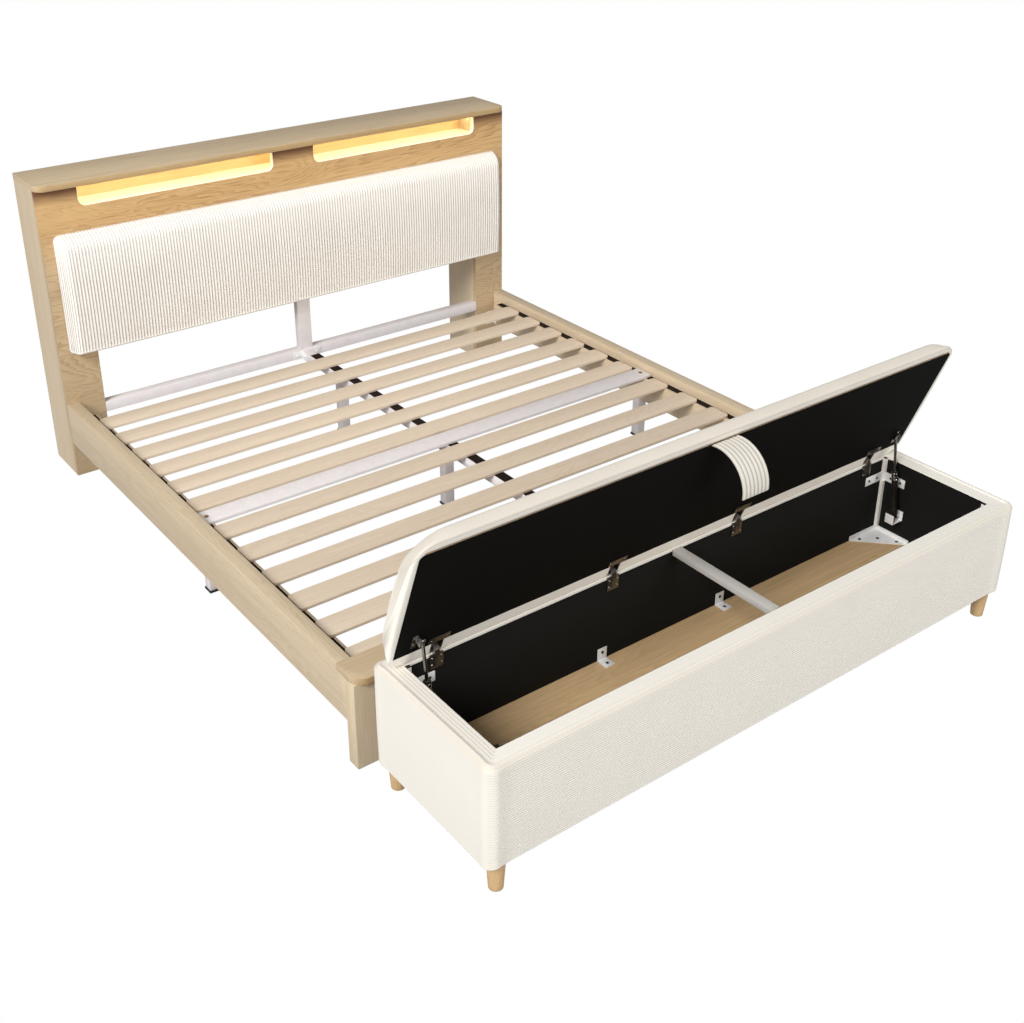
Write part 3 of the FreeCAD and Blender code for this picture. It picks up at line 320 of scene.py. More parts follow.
def make_oak_group():
    """Oak with its grain along the vector's X: broad bands, flame-shaped growth lines and fine open pores.

    The growth lines are level lines of a smooth noise that is drawn out along the grain.
    """
    tree, given, end = new_group("oak_figure", Vector="vector", Pale="colour", Deep="colour", Figure="value")
    vector = given["Vector"]
    broad = noise(tree, stretched(tree, vector, (0.55, 7.0, 7.0)), 1.5, 4.0, 0.55, 0.5)
    field = noise(tree, stretched(tree, vector, (0.62, 3.6, 3.6)), 1.0, 4.0, 0.45, 0.30)
    clear = noise(tree, stretched(tree, vector, (0.6, 1.6, 1.6)), 1.0, 2.0)
    fibre = noise(tree, stretched(tree, vector, (3.0, 190.0, 190.0)), 1.0, 4.0, 0.65)
    pores = noise(tree, stretched(tree, vector, (9.0, 420.0, 420.0)), 1.0, 2.0)
    pores = spread(tree, pores, 0.48, 0.66)
    rings = math_of(tree, "FRACT", times(tree, field, 58.0))
    rings = math_of(tree, "POWER", spread(tree, rings, 0.20, 1.0), 1.4)
    rings = times(tree, rings, added(tree, pores, 0.55, 0.45))
    rings = times(tree, rings, spread(tree, clear, 0.38, 0.62, 0.30, 1.0))
    deep = times(tree, spread(tree, broad, 0.30, 0.72), 0.30)
    deep = added(tree, times(tree, rings, given["Figure"]), 0.80, deep)
    deep = added(tree, spread(tree, fibre, 0.30, 0.72), 0.34, deep)
    deep = added(tree, pores, 0.14, deep)
    feed(tree, end, {
        "Color": mixed(tree, spread(tree, deep, 0.0, 1.25), given["Pale"], given["Deep"]),
        "Roughness": added(tree, fibre, 0.22, 0.36),
        "Height": added(tree, pores, -0.7, times(tree, fibre, -0.5))})
    return tree


def make_cloth_group():
    """Ribbed cloth: darker valleys from the rib value, a painted shade value, a fine fuzz and soft blotches.
    """
    tree, given, end = new_group(
        "ribbed_cloth", Vector="vector", Rib="value", Crest="colour", Valley="colour")
    fuzz = noise(tree, given["Vector"], 900.0, 3.0, 0.7)
    tuft = noise(tree, given["Vector"], 260.0, 3.0, 0.6)
    blotch = noise(tree, given["Vector"], 6.0, 3.0)
    share = added(tree, spread(tree, tuft, 0.35, 0.65), 0.08, given["Rib"])
    share = added(tree, spread(tree, blotch, 0.3, 0.7), 0.08, share)
    shade = mixed(tree, spread(tree, share, 0.12, 1.00), given["Valley"], given["Crest"])
    dusk = times(tree, spread(tree, fuzz, 0.45, 0.75), 0.04)
    feed(tree, end, {
        "Color": mixed(tree, dusk, shade, given["Valley"]),
        "Roughness": added(tree, fuzz, 0.10, 0.84),
        "Height": added(tree, fuzz, 0.5, times(tree, tuft, 0.8))})
    return tree


def make_metal_group():
    """Plated or painted metal: faint streaks along X, small pits and a cloudy finish."""
    tree, given, end = new_group("worn_metal", Vector="vector", Bright="colour", Dull="colour", Gloss="value")
    streak = noise(tree, stretched(tree, given["Vector"], (25.0, 900.0, 900.0)), 1.0, 2.0, 0.6)
    cloud = noise(tree, given["Vector"], 28.0, 4.0, 0.6)
    pits = spread(tree, noise(tree, given["Vector"], 700.0, 2.0), 0.62, 0.74)
    dull = times(tree, spread(tree, cloud, 0.3, 0.7), 0.45)
    dull = added(tree, spread(tree, streak, 0.3, 0.7), 0.35, dull)
    dull = added(tree, pits, 0.35, dull)
    feed(tree, end, {
        "Color": mixed(tree, dull, given["Bright"], given["Dull"]),
        "Roughness": added(tree, dull, 0.22, math_of(tree, "SUBTRACT", 0.55, given["Gloss"])),
        "Height": added(tree, pits, -0.6, times(tree, streak, 0.3))})
    return tree


oak_figure = make_oak_group()
ribbed_cloth = make_cloth_group()
worn_metal = make_metal_group()


def new_material(name):
    """A material, its tree, its shader and its Object coordinates."""
    made = bpy.data.materials.new(name)
    made.use_nodes = True
    tree = made.node_tree
    return made, tree, tree.nodes["Principled BSDF"], put(tree, "TexCoord").outputs["Object"]


def wire_up(tree, shader, finish, bump, distance):
    """Leads a finish group's colour, roughness and height to the shader."""
    lift = put(tree, "Bump", {"Strength": bump, "Distance": distance, "Height": finish.outputs["Height"]})
    feed(tree, shader, {"Base Color": finish.outputs["Color"], "Roughness": finish.outputs["Roughness"],
                        "Normal": lift.outputs["Normal"]})


def oak(name, along, pale, deep, figure, shift=(0.0, 0.0, 0.0), above=None, edge=None, under=None):
    """Oak with its grain along one axis of the bed.

    Above gives two heights and the two tones that it turns to between them, edge two tones for the faces
    towards the foot end, painted shade with an edge band's darker tone, under two heights and the tone of a
    painted shadow that darkens it between them.
    """
    made, tree, shader, place = new_material(name)
    turn = {"x": (0, 0, 0), "y": (0, 0, np.pi / 2), "z": (0, np.pi / 2, 0)}[along]
    vector = put(tree, "Mapping", {"Vector": place, "Rotation": turn, "Location": shift}).outputs["Vector"]
    tones = {"Pale": colour(*pale), "Deep": colour(*deep)}
    share, others = 0.0, ()
    if above:
        share, others = spread(tree, axis_of(tree, place, "Z"), *above[:2]), above[2:]
    # Faces turned towards the foot end take the edge tones: painted shade, with an edge band's darker tone.
    if edge:
        normal = put(tree, "NewGeometry").outputs["Normal"]
        share, others = spread(tree, axis_of(tree, normal, "Y"), -0.4, -0.9), edge
    for key, other in zip(tones, others):
        tones[key] = mixed(tree, share, tones[key], colour(*other))
    finish = put(tree, "Group", {"Vector": vector, "Figure": figure, **tones}, node_tree=oak_figure)
    wire_up(tree, shader, finish, 0.35, 0.0006)
    # Painted shadow: the colour darkens to the under tone between the two heights.
    if under:
        share = spread(tree, axis_of(tree, place, "Z"), *under[:2])
        feed(tree, shader, {"Base Color": mixed(tree, share, finish.outputs["Color"], colour(*under[2]))})
    feed(tree, shader, {"Coat Weight": 0.06, "Coat Roughness": 0.35})
    return made


def cloth(name, crest, valley):
    """Ribbed upholstery cloth that reads the rib value kept at the points: painted shade in the rib valleys,
    with painted light and shade laid on part by part.
    """
    made, tree, shader, place = new_material(name)
    height = put(tree, "Attribute", attribute_name="rib").outputs["Fac"]
    wires = {"Vector": place, "Rib": height, "Crest": colour(*crest), "Valley": colour(*valley)}
    wire_up(tree, shader, put(tree, "Group", wires, node_tree=ribbed_cloth), 0.05, 0.0005)
    feed(tree, shader, {"Sheen Weight": 0.25, "Sheen Roughness": 0.5, "Specular IOR Level": 0.2})
    return made


def metal(name, bright, dull, gloss, metallic=1.0):
    """Plated or painted metal; gloss takes off roughness."""
    made, tree, shader, place = new_material(name)
    wires = {"Vector": place, "Bright": colour(*bright), "Dull": colour(*dull), "Gloss": gloss}
    wire_up(tree, shader, put(tree, "Group", wires, node_tree=worn_metal), 0.15, 0.0003)
    feed(tree, shader, {"Metallic": metallic})
    return made


def felt(name, dark, light, weave):
    """Plain woven lining or tape: crossed threads, lint and a dull surface."""
    made, tree, shader, place = new_material(name)
    threads = times(tree, bands(tree, place, "X", weave, 1.0), bands(tree, place, "DIAGONAL", weave, 1.0))
    lint = spread(tree, noise(tree, place, 420.0, 2.0, 0.6), 0.55, 0.8)
    share = added(tree, lint, 0.5, times(tree, threads, 0.5))
    lift = put(tree, "Bump", {"Strength": 0.2, "Distance": 0.0004, "Height": threads})
    feed(tree, shader, {
        "Base Color": mixed(tree, share, colour(*dark), colour(*light)),
        "Roughness": spread(tree, lint, 0.0, 1.0, 0.80, 0.95),
        "Normal": lift.outputs["Normal"],
        "Specular IOR Level": 0.12})
    return made


def glow(name, tint, spot, strength):
    """A light strip under a milky cover: brighter spots where its small lamps sit."""
    made, tree, shader, place = new_material(name)
    lamps = bands(tree, place, "X", 9.5, 0.0)
    pale = mixed(tree, times(tree, lamps, 0.35), tint, spot)
    feed(tree, shader, {"Base Color": pale, "Emission Color": pale, "Emission Strength": strength})
    return made


STRIP_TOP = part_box("bench_corner_strips")[1][2]
FINISHES = {
    # The front's above tones paint a warm light on it towards its top; its under tone paints the shelf's
    # shadow.
    "oak_front": oak("oak_front", "x", (206, 182, 146), (150, 120, 82), 1.0,
                     above=(0.82, 1.02, (226, 188, 132), (156, 112, 62)), under=(1.098, 1.146, (116, 74, 40))),
    # Its edge tones paint shade on the faces turned to the foot end, with an edge band's darker tone.
    "oak_top": oak("oak_top", "x", (214, 193, 160), (164, 138, 102), 0.45, (2.3, 0.2, 0.9),
                   edge=((198, 168, 122), (158, 128, 86))),
    "oak_y": oak("oak_along", "y", (218, 200, 172), (170, 145, 110), 0.45, (0.3, 1.7, 0.2)),
    "oak_z": oak("oak_upright", "z", (218, 200, 172), (172, 147, 112), 0.45, (0.7, 0.4, 2.1)),
    "oak_foot_leg": oak("oak_foot_leg", "z", (222, 204, 174), (176, 150, 114), 0.6, (0.2, 0.3, 0.5)),
    "oak_foot": oak("oak_foot", "x", (202, 178, 144), (152, 122, 86), 0.7, (0.9, 0.6, 0.4)),
    "oak_leg": oak("oak_turned", "z", (216, 184, 136), (172, 132, 84), 0.5, (0.1, 0.6, 1.1)),
    # The cubby's floor and back are lit and shaded copies of one oak: a paler floor of painted light from the
    # strip above, a warmer, darker back of painted shade.
    "cubby_floor": oak("cubby_floor_oak_painted_light", "x", (250, 243, 226), (228, 210, 180), 0.2, (0.4, 0.1, 0.3)),
    "cubby_back": oak("cubby_back_oak_painted_shade", "x", (220, 192, 142), (186, 152, 100), 0.3, (0.6, 0.2, 0.8)),
    "edging": oak("slot_edging_pale", "x", (252, 248, 236), (240, 230, 206), 0.1, (0.2, 0.5, 0.4)),
    "birch": oak("pale_birch", "x", (231, 214, 192), (198, 173, 145), 0.35, (0.2, 0.9, 0.1)),
    "strip_wood": oak("pale_strip", "z", (248, 245, 238), (230, 222, 208), 0.2,
                      above=(STRIP_TOP - 0.0012, STRIP_TOP - 0.0006, (16, 16, 15), (24, 23, 22))),
    "board": oak("bench_floor_oak", "x", (220, 187, 141), (154, 121, 82), 0.6, (1.3, 0.5, 0.7)),
    "pad_cloth": cloth("pad_corduroy", (247, 243, 236), (158, 146, 132)),
    "bench_cloth": cloth("bench_corduroy", (236, 231, 221), (211, 203, 190)),
    # A paler copy of the bench corduroy: painted light on the lid's shaded underside.
    "lid_cloth_painted_light": cloth("lid_corduroy_painted_light", (252, 247, 236), (207, 199, 186)),
    # A darker copy of the cream corduroy: painted shade on the strap that hangs under the lid.
    "strap_cloth_painted_shade": cloth("strap_corduroy_painted_shade", (214, 209, 198), (160, 153, 141)),
    "paint": metal("pale_paint", (236, 230, 229), (218, 210, 210), 0.15, 0.0),
    "brace_paint": metal("grey_paint", (190, 187, 181), (172, 168, 162), 0.15, 0.0),
    "zinc": metal("bright_zinc", (250, 249, 247), (212, 211, 209), 0.20, 0.15),
    "brass": metal("soft_brass", (190, 150, 96), (120, 90, 56), 0.22),
    "bronze": metal("dark_nickel", (172, 166, 158), (58, 52, 46), 0.32),
    "chrome": metal("dark_chrome", (196, 194, 190), (84, 80, 76), 0.40),
    "strut": metal("strut_black", (58, 54, 51), (18, 17, 17), 0.34, 0.7),
    "rod": metal("polished_rod", (182, 180, 178), (80, 78, 76), 0.45),
    "plastic": metal("black_plastic", (34, 33, 33), (18, 18, 18), 0.15, 0.0),
    "screw": metal("dark_screw", (84, 78, 72), (30, 28, 26), 0.30),
    "lining": felt("lid_lining_black", (5, 5, 4), (17, 16, 15), 260.0),
    # A paler copy of the black lining: painted light on the bench's inside walls.
    "wall_lining_painted_light": felt("wall_lining_black_painted_light", (20, 20, 18), (44, 43, 41), 260.0),
    "tape": felt("brown_black_tape", (30, 20, 16), (58, 42, 35), 180.0),
    "glow": glow("warm_strip", (1.0, 0.84, 0.52, 1.0), (1.0, 0.92, 0.68, 1.0), 14.0),
}


# The CAD nodes that show as they are

def nodes_named(*starts):
    """Names of the CAD nodes that start with one of the given words."""
    return [name for name in sorted(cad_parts) if name.startswith(starts)]


def dress(finish, *starts):
    """Gives a finish to every CAD node whose name starts so."""
    for name in nodes_named(*starts):
        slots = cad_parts[name].data.materials
        slots.clear()
        slots.append(FINISHES[finish])


def make_shading_group():
    """Geometry nodes that shade a mesh smooth, apart from edges bent by more than 30 degrees."""
    tree = bpy.data.node_groups.new("smooth_but_edges", "GeometryNodeTree")
    for way in ("INPUT", "OUTPUT"):
        tree.interface.new_socket("Geometry", in_out=way, socket_type="NodeSocketGeometry")
    start = tree.nodes.new("NodeGroupInput")
    end = tree.nodes.new("NodeGroupOutput")
    faces = tree.nodes.new("GeometryNodeSetShadeSmooth")
    edges = tree.nodes.new("GeometryNodeSetShadeSmooth")
    edges.domain = "EDGE"
    angle = tree.nodes.new("GeometryNodeInputMeshEdgeAngle")
    sharp = tree.nodes.new("FunctionNodeCompare")
    feed(tree, sharp, {"A": angle.outputs["Unsigned Angle"], "B": np.radians(30)})
    feed(tree, faces, {"Geometry": start.outputs[0]})
    feed(tree, edges, {"Geometry": faces.outputs[0], "Selection": sharp.outputs["Result"],
                       "Shade Smooth": False})
    feed(tree, end, {0: edges.outputs[0]})
    return tree


smooth_but_edges = make_shading_group()


def ease_edges(width, *starts):
    """Joins a CAD node's loose faces, rounds its sharp edges a little and shades its round faces smooth."""
    for name in nodes_named(*starts):
        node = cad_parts[name]
        weld = node.modifiers.new("weld", "WELD")
        weld.merge_threshold = 0.00002
        bevel = node.modifiers.new("eased", "BEVEL")
        bevel.width = width
        bevel.segments = 2
        bevel.limit_method = "ANGLE"
        bevel.angle_limit = np.radians(40)
        shading = node.modifiers.new("shading", "NODES")
        shading.node_group = smooth_but_edges


def dress_frame():
    """Finishes and eased edges of the CAD nodes; a later line takes over a node that an earlier one named."""
    dress("oak_front", "headboard_front", "headboard_leg_front", "headboard_bottom")
    dress("oak_foot", "foot_")
    dress("oak_top", "headboard_top", "headboard_back", "foot_cap")
    dress("cubby_floor", "cubby_floor")
    dress("cubby_back", "cubby_back")
    dress("oak_y", "side_rail", "slat_ledge")
    dress("oak_z", "headboard_side", "headboard_leg_inner", "headboard_leg_backs")
    dress("oak_leg", "bench_legs")
    dress("oak_foot_leg", "foot_leg")
    dress("birch", "slats")
    dress("strip_wood", "bench_corner_strips")
    dress("board", "bench_floor", "bench_wall", "lid_panel")
    dress("paint", "head_cross_tube", "headboard_post", "centre_rails", "mid_cross_bar", "support_legs")
    dress("brace_paint", "bench_brace")
    dress("zinc", "frame_b", "bench_corner_plates", "bench_brackets", "bench_strut")
    dress("chrome", "lid_strut")
    dress("brass", "bar_screws")
    dress("bronze", "bench_hinge", "lid_hinge")
    dress("strut", "strut_left_cylinder", "strut_right_cylinder")
    dress("rod", "strut_left_rod", "strut_right_rod")
    dress("plastic", "leg_glides")
    dress("tape", "slat_tapes")
    dress("glow", "light_strips")
    ease_edges(0.0022, "side_rail", "foot_", "slats", "headboard_top", "headboard_side")
    ease_edges(0.0012, "slat_ledge", "bench_brace", "mid_cross_bar", "head_cross_tube", "headboard_post")
    ease_edges(0.0010, "bench_legs", "strut_left_cylinder", "strut_right_cylinder", "frame_b", "bar_screws")
    ease_edges(0.0006, "bench_corner_plates", "bench_brackets", "bench_strut", "bench_hinge", "lid_strut",
               "lid_hinge", "strut_left_rod", "strut_right_rod", "support_legs", "centre_rails", "leg_glides")


# Pieces made here

def settle(piece, body, finish, slot, *stands_for):
    """Gives a made piece its finish, the body that it moves with and the nodes that it stands for."""
    piece.data.materials.append(FINISHES[finish])
    if stands_for:
        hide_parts(*stands_for)
    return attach(piece, body)


def make_pad():
    """Headboard pad: a crowned section carried across, drawn in at both ends, with upright ribs.

    The section runs from the back's lower edge round the front to the back's upper edge, as a superellipse
    quarter at the bottom, a shallow arc up the front and a larger quarter at the top. Towards the ends it
    gets shallower along a superellipse and lower along a quarter circle; the ribs go on round the ends.
    """
    low, high = corners_of("headboard_cushion")
    hang, crown, bend, thinnest = 0.010, 0.007, 0.8, 0.03
    low_round, high_round, end_round, corner_round = 0.026, 0.062, 0.036, 0.024
    low[2] -= hang
    tall = high[2] - low[2]
    back, deep = high[1], high[1] - low[1]

    def outline(count):
        """Places across and shares of the depth, evenly along the outline seen from above, and its length."""
        turn = np.linspace(0, np.pi / 2, 120)
        out = high[0] - end_round + end_round * np.sin(turn) ** bend
        share = thinnest + (1 - thinnest) * np.cos(turn) ** bend
        x = np.concatenate([-out[::-1], out])
        share = np.concatenate([share[::-1], share])
        run = np.concatenate([[0], np.cumsum(np.hypot(np.diff(x), deep * np.diff(share)))])
        even = np.linspace(0, run[-1], count)
        return np.interp(even, run, x), np.interp(even, run, share), run[-1]

    def section(count):
        """Depths and levels along the section."""
        turn = np.linspace(0, np.pi / 2, count)
        run = np.linspace(0, 1, 2 * count)
        front_low, front_high = low[2] + low_round, high[2] - high_round
        depth = np.concatenate([
            (deep - crown) * np.sin(turn[:-1]) ** bend,
            deep - crown * (2 * run - 1) ** 2,
            (deep - crown) * np.cos(turn[1:]) ** bend])
        level = np.concatenate([
            low[2] + low_round * (1 - np.cos(turn[:-1])),
            front_low + (front_high - front_low) * run,
            front_high + high_round * np.sin(turn[1:])])
        return depth, level

    def form(rows, count):
        """The smooth pad as a grid of points: rows along the outline, the section across them."""
        depth, level = section(count)
        x, share, _ = outline(rows)
        middle = (low[2] + high[2]) / 2
        draw = quarter(high[0] - np.abs(x), corner_round)[:, None] / (tall / 2)
        z = middle + (level[None, :] - middle) * (1 - draw)
        y = back - depth[None, :] * share[:, None]
        return np.stack(np.broadcast_arrays(x[:, None], y, z), -1)

    coarse = form(rows=131, count=8)
    held = np.zeros(coarse.shape[:2], bool)
    held[[0, -1]] = True
    held[:, [0, -1]] = True
    swell = puffed(coarse, held, pressure=5.0, most=0.005, frames=20)

    ribs = int(round(outline(2)[2] / PAD_RIB))
    rib_points = 6
    fine = form(rows=ribs * rib_points + 1, count=16)
    fine = fine + finer(swell, *fine.shape[:2])
    height = rib(np.linspace(0, ribs, ribs * rib_points + 1), 1)[:, None]
    normal = normals_of(fine)
    # Ribs go flatter and the cloth paler where the pad faces up: painted light on its top.
    flatter_and_painted_light = smooth(normal[..., 2] / 0.5)
    sewn_flat = smooth((back - fine[..., 1]) / 0.012)
    raised = height * PAD_RIB_HEIGHT * (1 - 0.95 * flatter_and_painted_light) * sewn_flat
    fine = fine + normal * raised[..., None]
    fine[..., 1] = np.minimum(fine[..., 1], back)
    rows, cols = fine.shape[:2]
    # Painted light: the pad's upper part turns paler towards the crest tone.
    upper = smooth((fine[..., 2] - low[2]) / tall * 2.2 - 1.2)
    shade = 1 - (1 - height) * (1 - np.maximum(flatter_and_painted_light, 0.55 * upper))
    pad = mesh_of("headboard_pad", fine, tube_faces(rows, cols)[:, ::-1], rib=shade)
    settle(pad, "bed_frame", "pad_cloth", "corduroy", "headboard_cushion")


def rectangle(half_x, low_y, high_y, radius, long_steps, short_steps, corner_steps):
    """A rounded rectangle's points, anticlockwise from the front right corner, with outward directions."""
    places, ways = [], []
    corners = [(half_x, low_y, -90), (half_x, high_y, 0), (-half_x, high_y, 90), (-half_x, low_y, 180)]
    centres = [np.array([x - np.sign(x) * radius, y + (radius if y == low_y else -radius)])
               for x, y, _ in corners]
    for number, (_, _, start) in enumerate(corners):
        turn = np.radians(np.linspace(start, start + 90, corner_steps))
        way = np.stack([np.cos(turn), np.sin(turn)], -1)
        arc = centres[number] + radius * way
        following = centres[(number + 1) % 4] + radius * way[-1]
        steps = short_steps if number % 2 == 0 else long_steps
        share = np.linspace(0, 1, steps + 2)[1:-1, None]
        places += [arc, arc[-1] + (following - arc[-1]) * share]
        ways += [way, np.broadcast_to(way[-1], (steps, 2))]
    return np.concatenate(places), np.concatenate(ways)


def make_bench_cover():
    """Bench cover: a profile carried round the box, its ribs level round the sides and mitred on the rim.

    The inner edge follows the mouth, the outer edge a rounded rectangle; the rim joins the two, rises a
    little to the outside, turns over in a wide quarter circle, and the side falls from it to the underside.
    """
    low, high = corners_of("bench_cover")
    mouth_low, mouth_high = corners_of("bench_lining")
    play, side_fill, front_fill, rear_fill = 0.0002, 0.008, 0.004, 0.002
    edge, turned_in, tucked, hem, hem_round = 0.015, 0.022, 0.045, 0.006, 0.004
    rim_rise, end_rise, bulge_out, belly_out = 0.0006, 0.004, 0.0015, 0.002
    rim_ribs, edge_ribs, side_ribs = 5, 3, 40
    outer, way = rectangle(high[0] + side_fill, low[1] - front_fill, high[1] + rear_fill, 0.020,
                           long_steps=100, short_steps=36, corner_steps=9)
    inner = np.clip(outer, mouth_low[:2] + play, mouth_high[:2] - play)
    top, bottom = high[2], low[2] - hem
    stretches = [
        np.linspace(-turned_in, 0, 6)[:-1],
        np.linspace(0, 1, rim_ribs * 7 + 1),
        np.linspace(0, np.pi / 2, edge_ribs * 7 + 1)[1:],
        np.linspace(0, 1, side_ribs * 6 + 1)[1:],
        np.linspace(0, 1, 5)[1:]]
    run = np.concatenate(stretches)
    part = np.repeat(np.arange(5), [len(stretch) for stretch in stretches])
    inside, rim, turn, side, under = (part == number for number in range(5))
    past_turn = side | under

    across = np.where(inside, 0.0, np.where(rim, run, 1.0))[None, :]
    lift = rim_rise * smooth(across) + end_rise * np.abs(way[:, :1]) * smooth((across - 0.88) / 0.12)
    drop = np.where(turn, edge * (1 - np.cos(run)), np.where(past_turn, edge, 0.0))[None, :]
    out = np.where(turn, edge * np.sin(run), np.where(past_turn, edge, 0.0))[None, :]
    fall = np.where(side, run, np.where(under, 1.0, 0.0))[None, :]
    bulge = bulge_out * np.exp(-fall / 0.18) * (turn | past_turn)[None, :]
    belly = belly_out * np.sin(np.pi * fall) * side[None, :]
    shrink = 1 - edge / np.maximum(np.linalg.norm(outer - inner, axis=1), 1e-6)
    rim_end = inner + (outer - inner) * shrink[:, None]
    flat = inner[:, None] + (rim_end - inner)[:, None] * across[..., None]
    flat = flat + way[:, None] * (out + bulge + belly)[..., None]
    flat = flat - way[:, None] * (tucked * np.where(under, run, 0.0))[None, :, None]
    z = top + lift - drop
    z = z + (bottom + hem_round - z) * fall
    z = z + np.where(inside, run, np.where(under, -hem_round * np.minimum(run * 3, 1), 0.0))[None, :]
    points = np.concatenate([flat, np.broadcast_to(z, flat.shape[:2])[..., None]], -1)

    pitch = np.select([rim, turn, side], [1 / rim_ribs, np.pi / 2 / edge_ribs, 1 / side_ribs], 1.0)
    height = np.where(inside | under, 0.0, rib(run, pitch))[None, :]
    to_side, to_front = way[:, :1], np.abs(way[:, 1:])
    # Rim and end faces get flatter ribs and paler cloth, most at the right end: painted light.
    rim_flatter_and_painted_light = 0.6 * to_front + np.where(to_side > 0, 0.8, 0.3) * to_side ** 2
    flatter_and_painted_light = np.where(rim, rim_flatter_and_painted_light, 0.85 * np.abs(to_side))
    normal = normals_of(points)
    points = points + normal * (height * BENCH_RIB_HEIGHT * (1 - flatter_and_painted_light))[..., None]
    rows, cols = points.shape[:2]
    points = np.swapaxes(points, 0, 1)

    # The rib value is painted shade: darker rib valleys, softer on the front, darker on the leftward rim and
    # sides and at the corners, and a dip across the turned edge where its highlight falls.
    shade = np.where(inside | under, 0.8, 1 - (1 - height) * (1 - flatter_and_painted_light))
    corner_painted_shade = 1 - np.abs(way).max(axis=1, keepdims=True)
    leftward_painted_shade = np.maximum(-to_side, 0)
    shade = np.where(rim, shade - 0.35 * leftward_painted_shade, shade)
    softer = (shade - 0.70) * 0.25 * to_front
    shade = np.where(side, shade - softer - 0.15 * leftward_painted_shade - corner_painted_shade, shade)
    shade = np.where(turn, 0.75 - 0.65 * np.sin(2 * run), shade).T
    cover = mesh_of("bench_cover_cloth", points, ring_faces(cols, rows)[:, ::-1], rib=shade)
    settle(cover, "bench", "bench_cloth", "corduroy", "bench_cover")


def make_lid_pad():
    """Lid cushion: a section carried across, its ends rounded in plan and in height, notched at the cups.

    The section runs once round: the flat underside, the front edge, the crowned and ribbed top, the rear
    edge. At a hinge cup its points under the notch's ceiling are lifted to the ceiling.
    """
    half, corner, under_corner = 1.034, 0.115, 0.060
    edge, round_top, crown = 0.008, 0.016, 0.004
    end_fill, end_run = 0.007, 0.12
    wall, ceiling, hinge_row = 0.0004, 0.0078, 0.0014
    turn = np.linspace(0, np.pi / 2, 9)
    under = np.concatenate([[LID_REAR - edge, hinge_row, CUP_FRONT + 2 * wall],
                            np.linspace(CUP_FRONT, LID_FRONT + edge, 24)])
    ribs = int(round((LID_REAR - LID_FRONT - 2 * round_top) / BENCH_RIB))
    over = np.linspace(LID_FRONT + round_top, LID_REAR - round_top, ribs * 6 + 1)
    share = np.linspace(0, 1, len(over))
    y = np.concatenate([
        under,
        LID_FRONT + edge * (1 - np.sin(turn[1:])),
        LID_FRONT + round_top * (1 - np.cos(turn[1:])),
        over[1:],
        LID_REAR - round_top * (1 - np.sin(turn[1:])),
        LID_REAR - edge * (1 - np.cos(turn[1:-1]))])
    z = np.concatenate([
        np.full(len(under), -LID_HALF),
        edge * (1 - np.cos(turn[1:])) - LID_HALF,
        LID_HALF - round_top * (1 - np.sin(turn[1:])),
        LID_HALF + crown * np.sin(np.pi * share[1:]) ** 0.8,
        LID_HALF - round_top * (1 - np.cos(turn[1:])),
        edge * (1 - np.sin(turn[1:-1])) - LID_HALF])
    start = len(under) + 2 * (len(turn) - 1)
    height = np.zeros(len(y))
    height[start:start + len(over) - 1] = rib(over[1:] - over[0], (over[-1] - over[0]) / ribs)

    sides = CUP_HALF + np.array([-wall, wall, 10 * wall])
    cuts = (HINGES[:, None] + np.concatenate([-sides, sides])).ravel()
    ends = half - corner + corner * np.sin(np.linspace(0, np.pi / 2, 12))
    straight = np.linspace(corner - half, half - corner, 120)
    x = np.unique(np.round(np.concatenate([straight, cuts, ends, -ends]), 6))
    plan_round = under_corner + (corner - under_corner) * smooth(0.5 + z / LID_HALF / 2)
    plan = quarter(half - np.abs(x)[:, None], plan_round[None, :])
    thin = quarter(half - np.abs(x), edge)[:, None]
    middle = (LID_FRONT + LID_REAR) / 2
    reach = (LID_REAR - LID_FRONT) / 2
    wide = middle + (y[None, :] - middle) * (reach - plan) / reach
    tall = z[None, :] * (1 - thin / LID_HALF)
    full = end_fill * smooth((np.abs(x) - half + end_run) / end_run)[:, None]
    full = full * np.sin(np.pi * (wide - LID_FRONT) / (2 * reach))
    notched = (z < ceiling) & (y > CUP_FRONT + wall)
    tall = np.where(at_cups(x)[:, None] & notched[None, :], ceiling, tall)
    points = np.stack(np.broadcast_arrays(x[:, None] + np.sign(x)[:, None] * full, wide, tall), -1)
    points[..., 2] += (LID_RIB_HEIGHT * height)[None, :] * (1 - thin / edge)
    rows, cols = points.shape[:2]
    # Painted light and shade: the underside strip by the hinge is palest, the rest of the underside pale, the
    # top ribs held to the bench's tone, the front edge band in painted shade.
    shade = np.where(z < 0, np.where(y > CUP_FRONT - wall, 1.0, 0.8), 0.62 * height)
    shade[len(under):start] = 0.1
    pad = mesh_of("lid_pad", lid_place(points), tube_faces(rows, cols)[:, ::-1],
                  rib=np.broadcast_to(shade, (rows, cols)))
    settle(pad, "lid", "lid_cloth_painted_light", "corduroy", "lid_cushion")


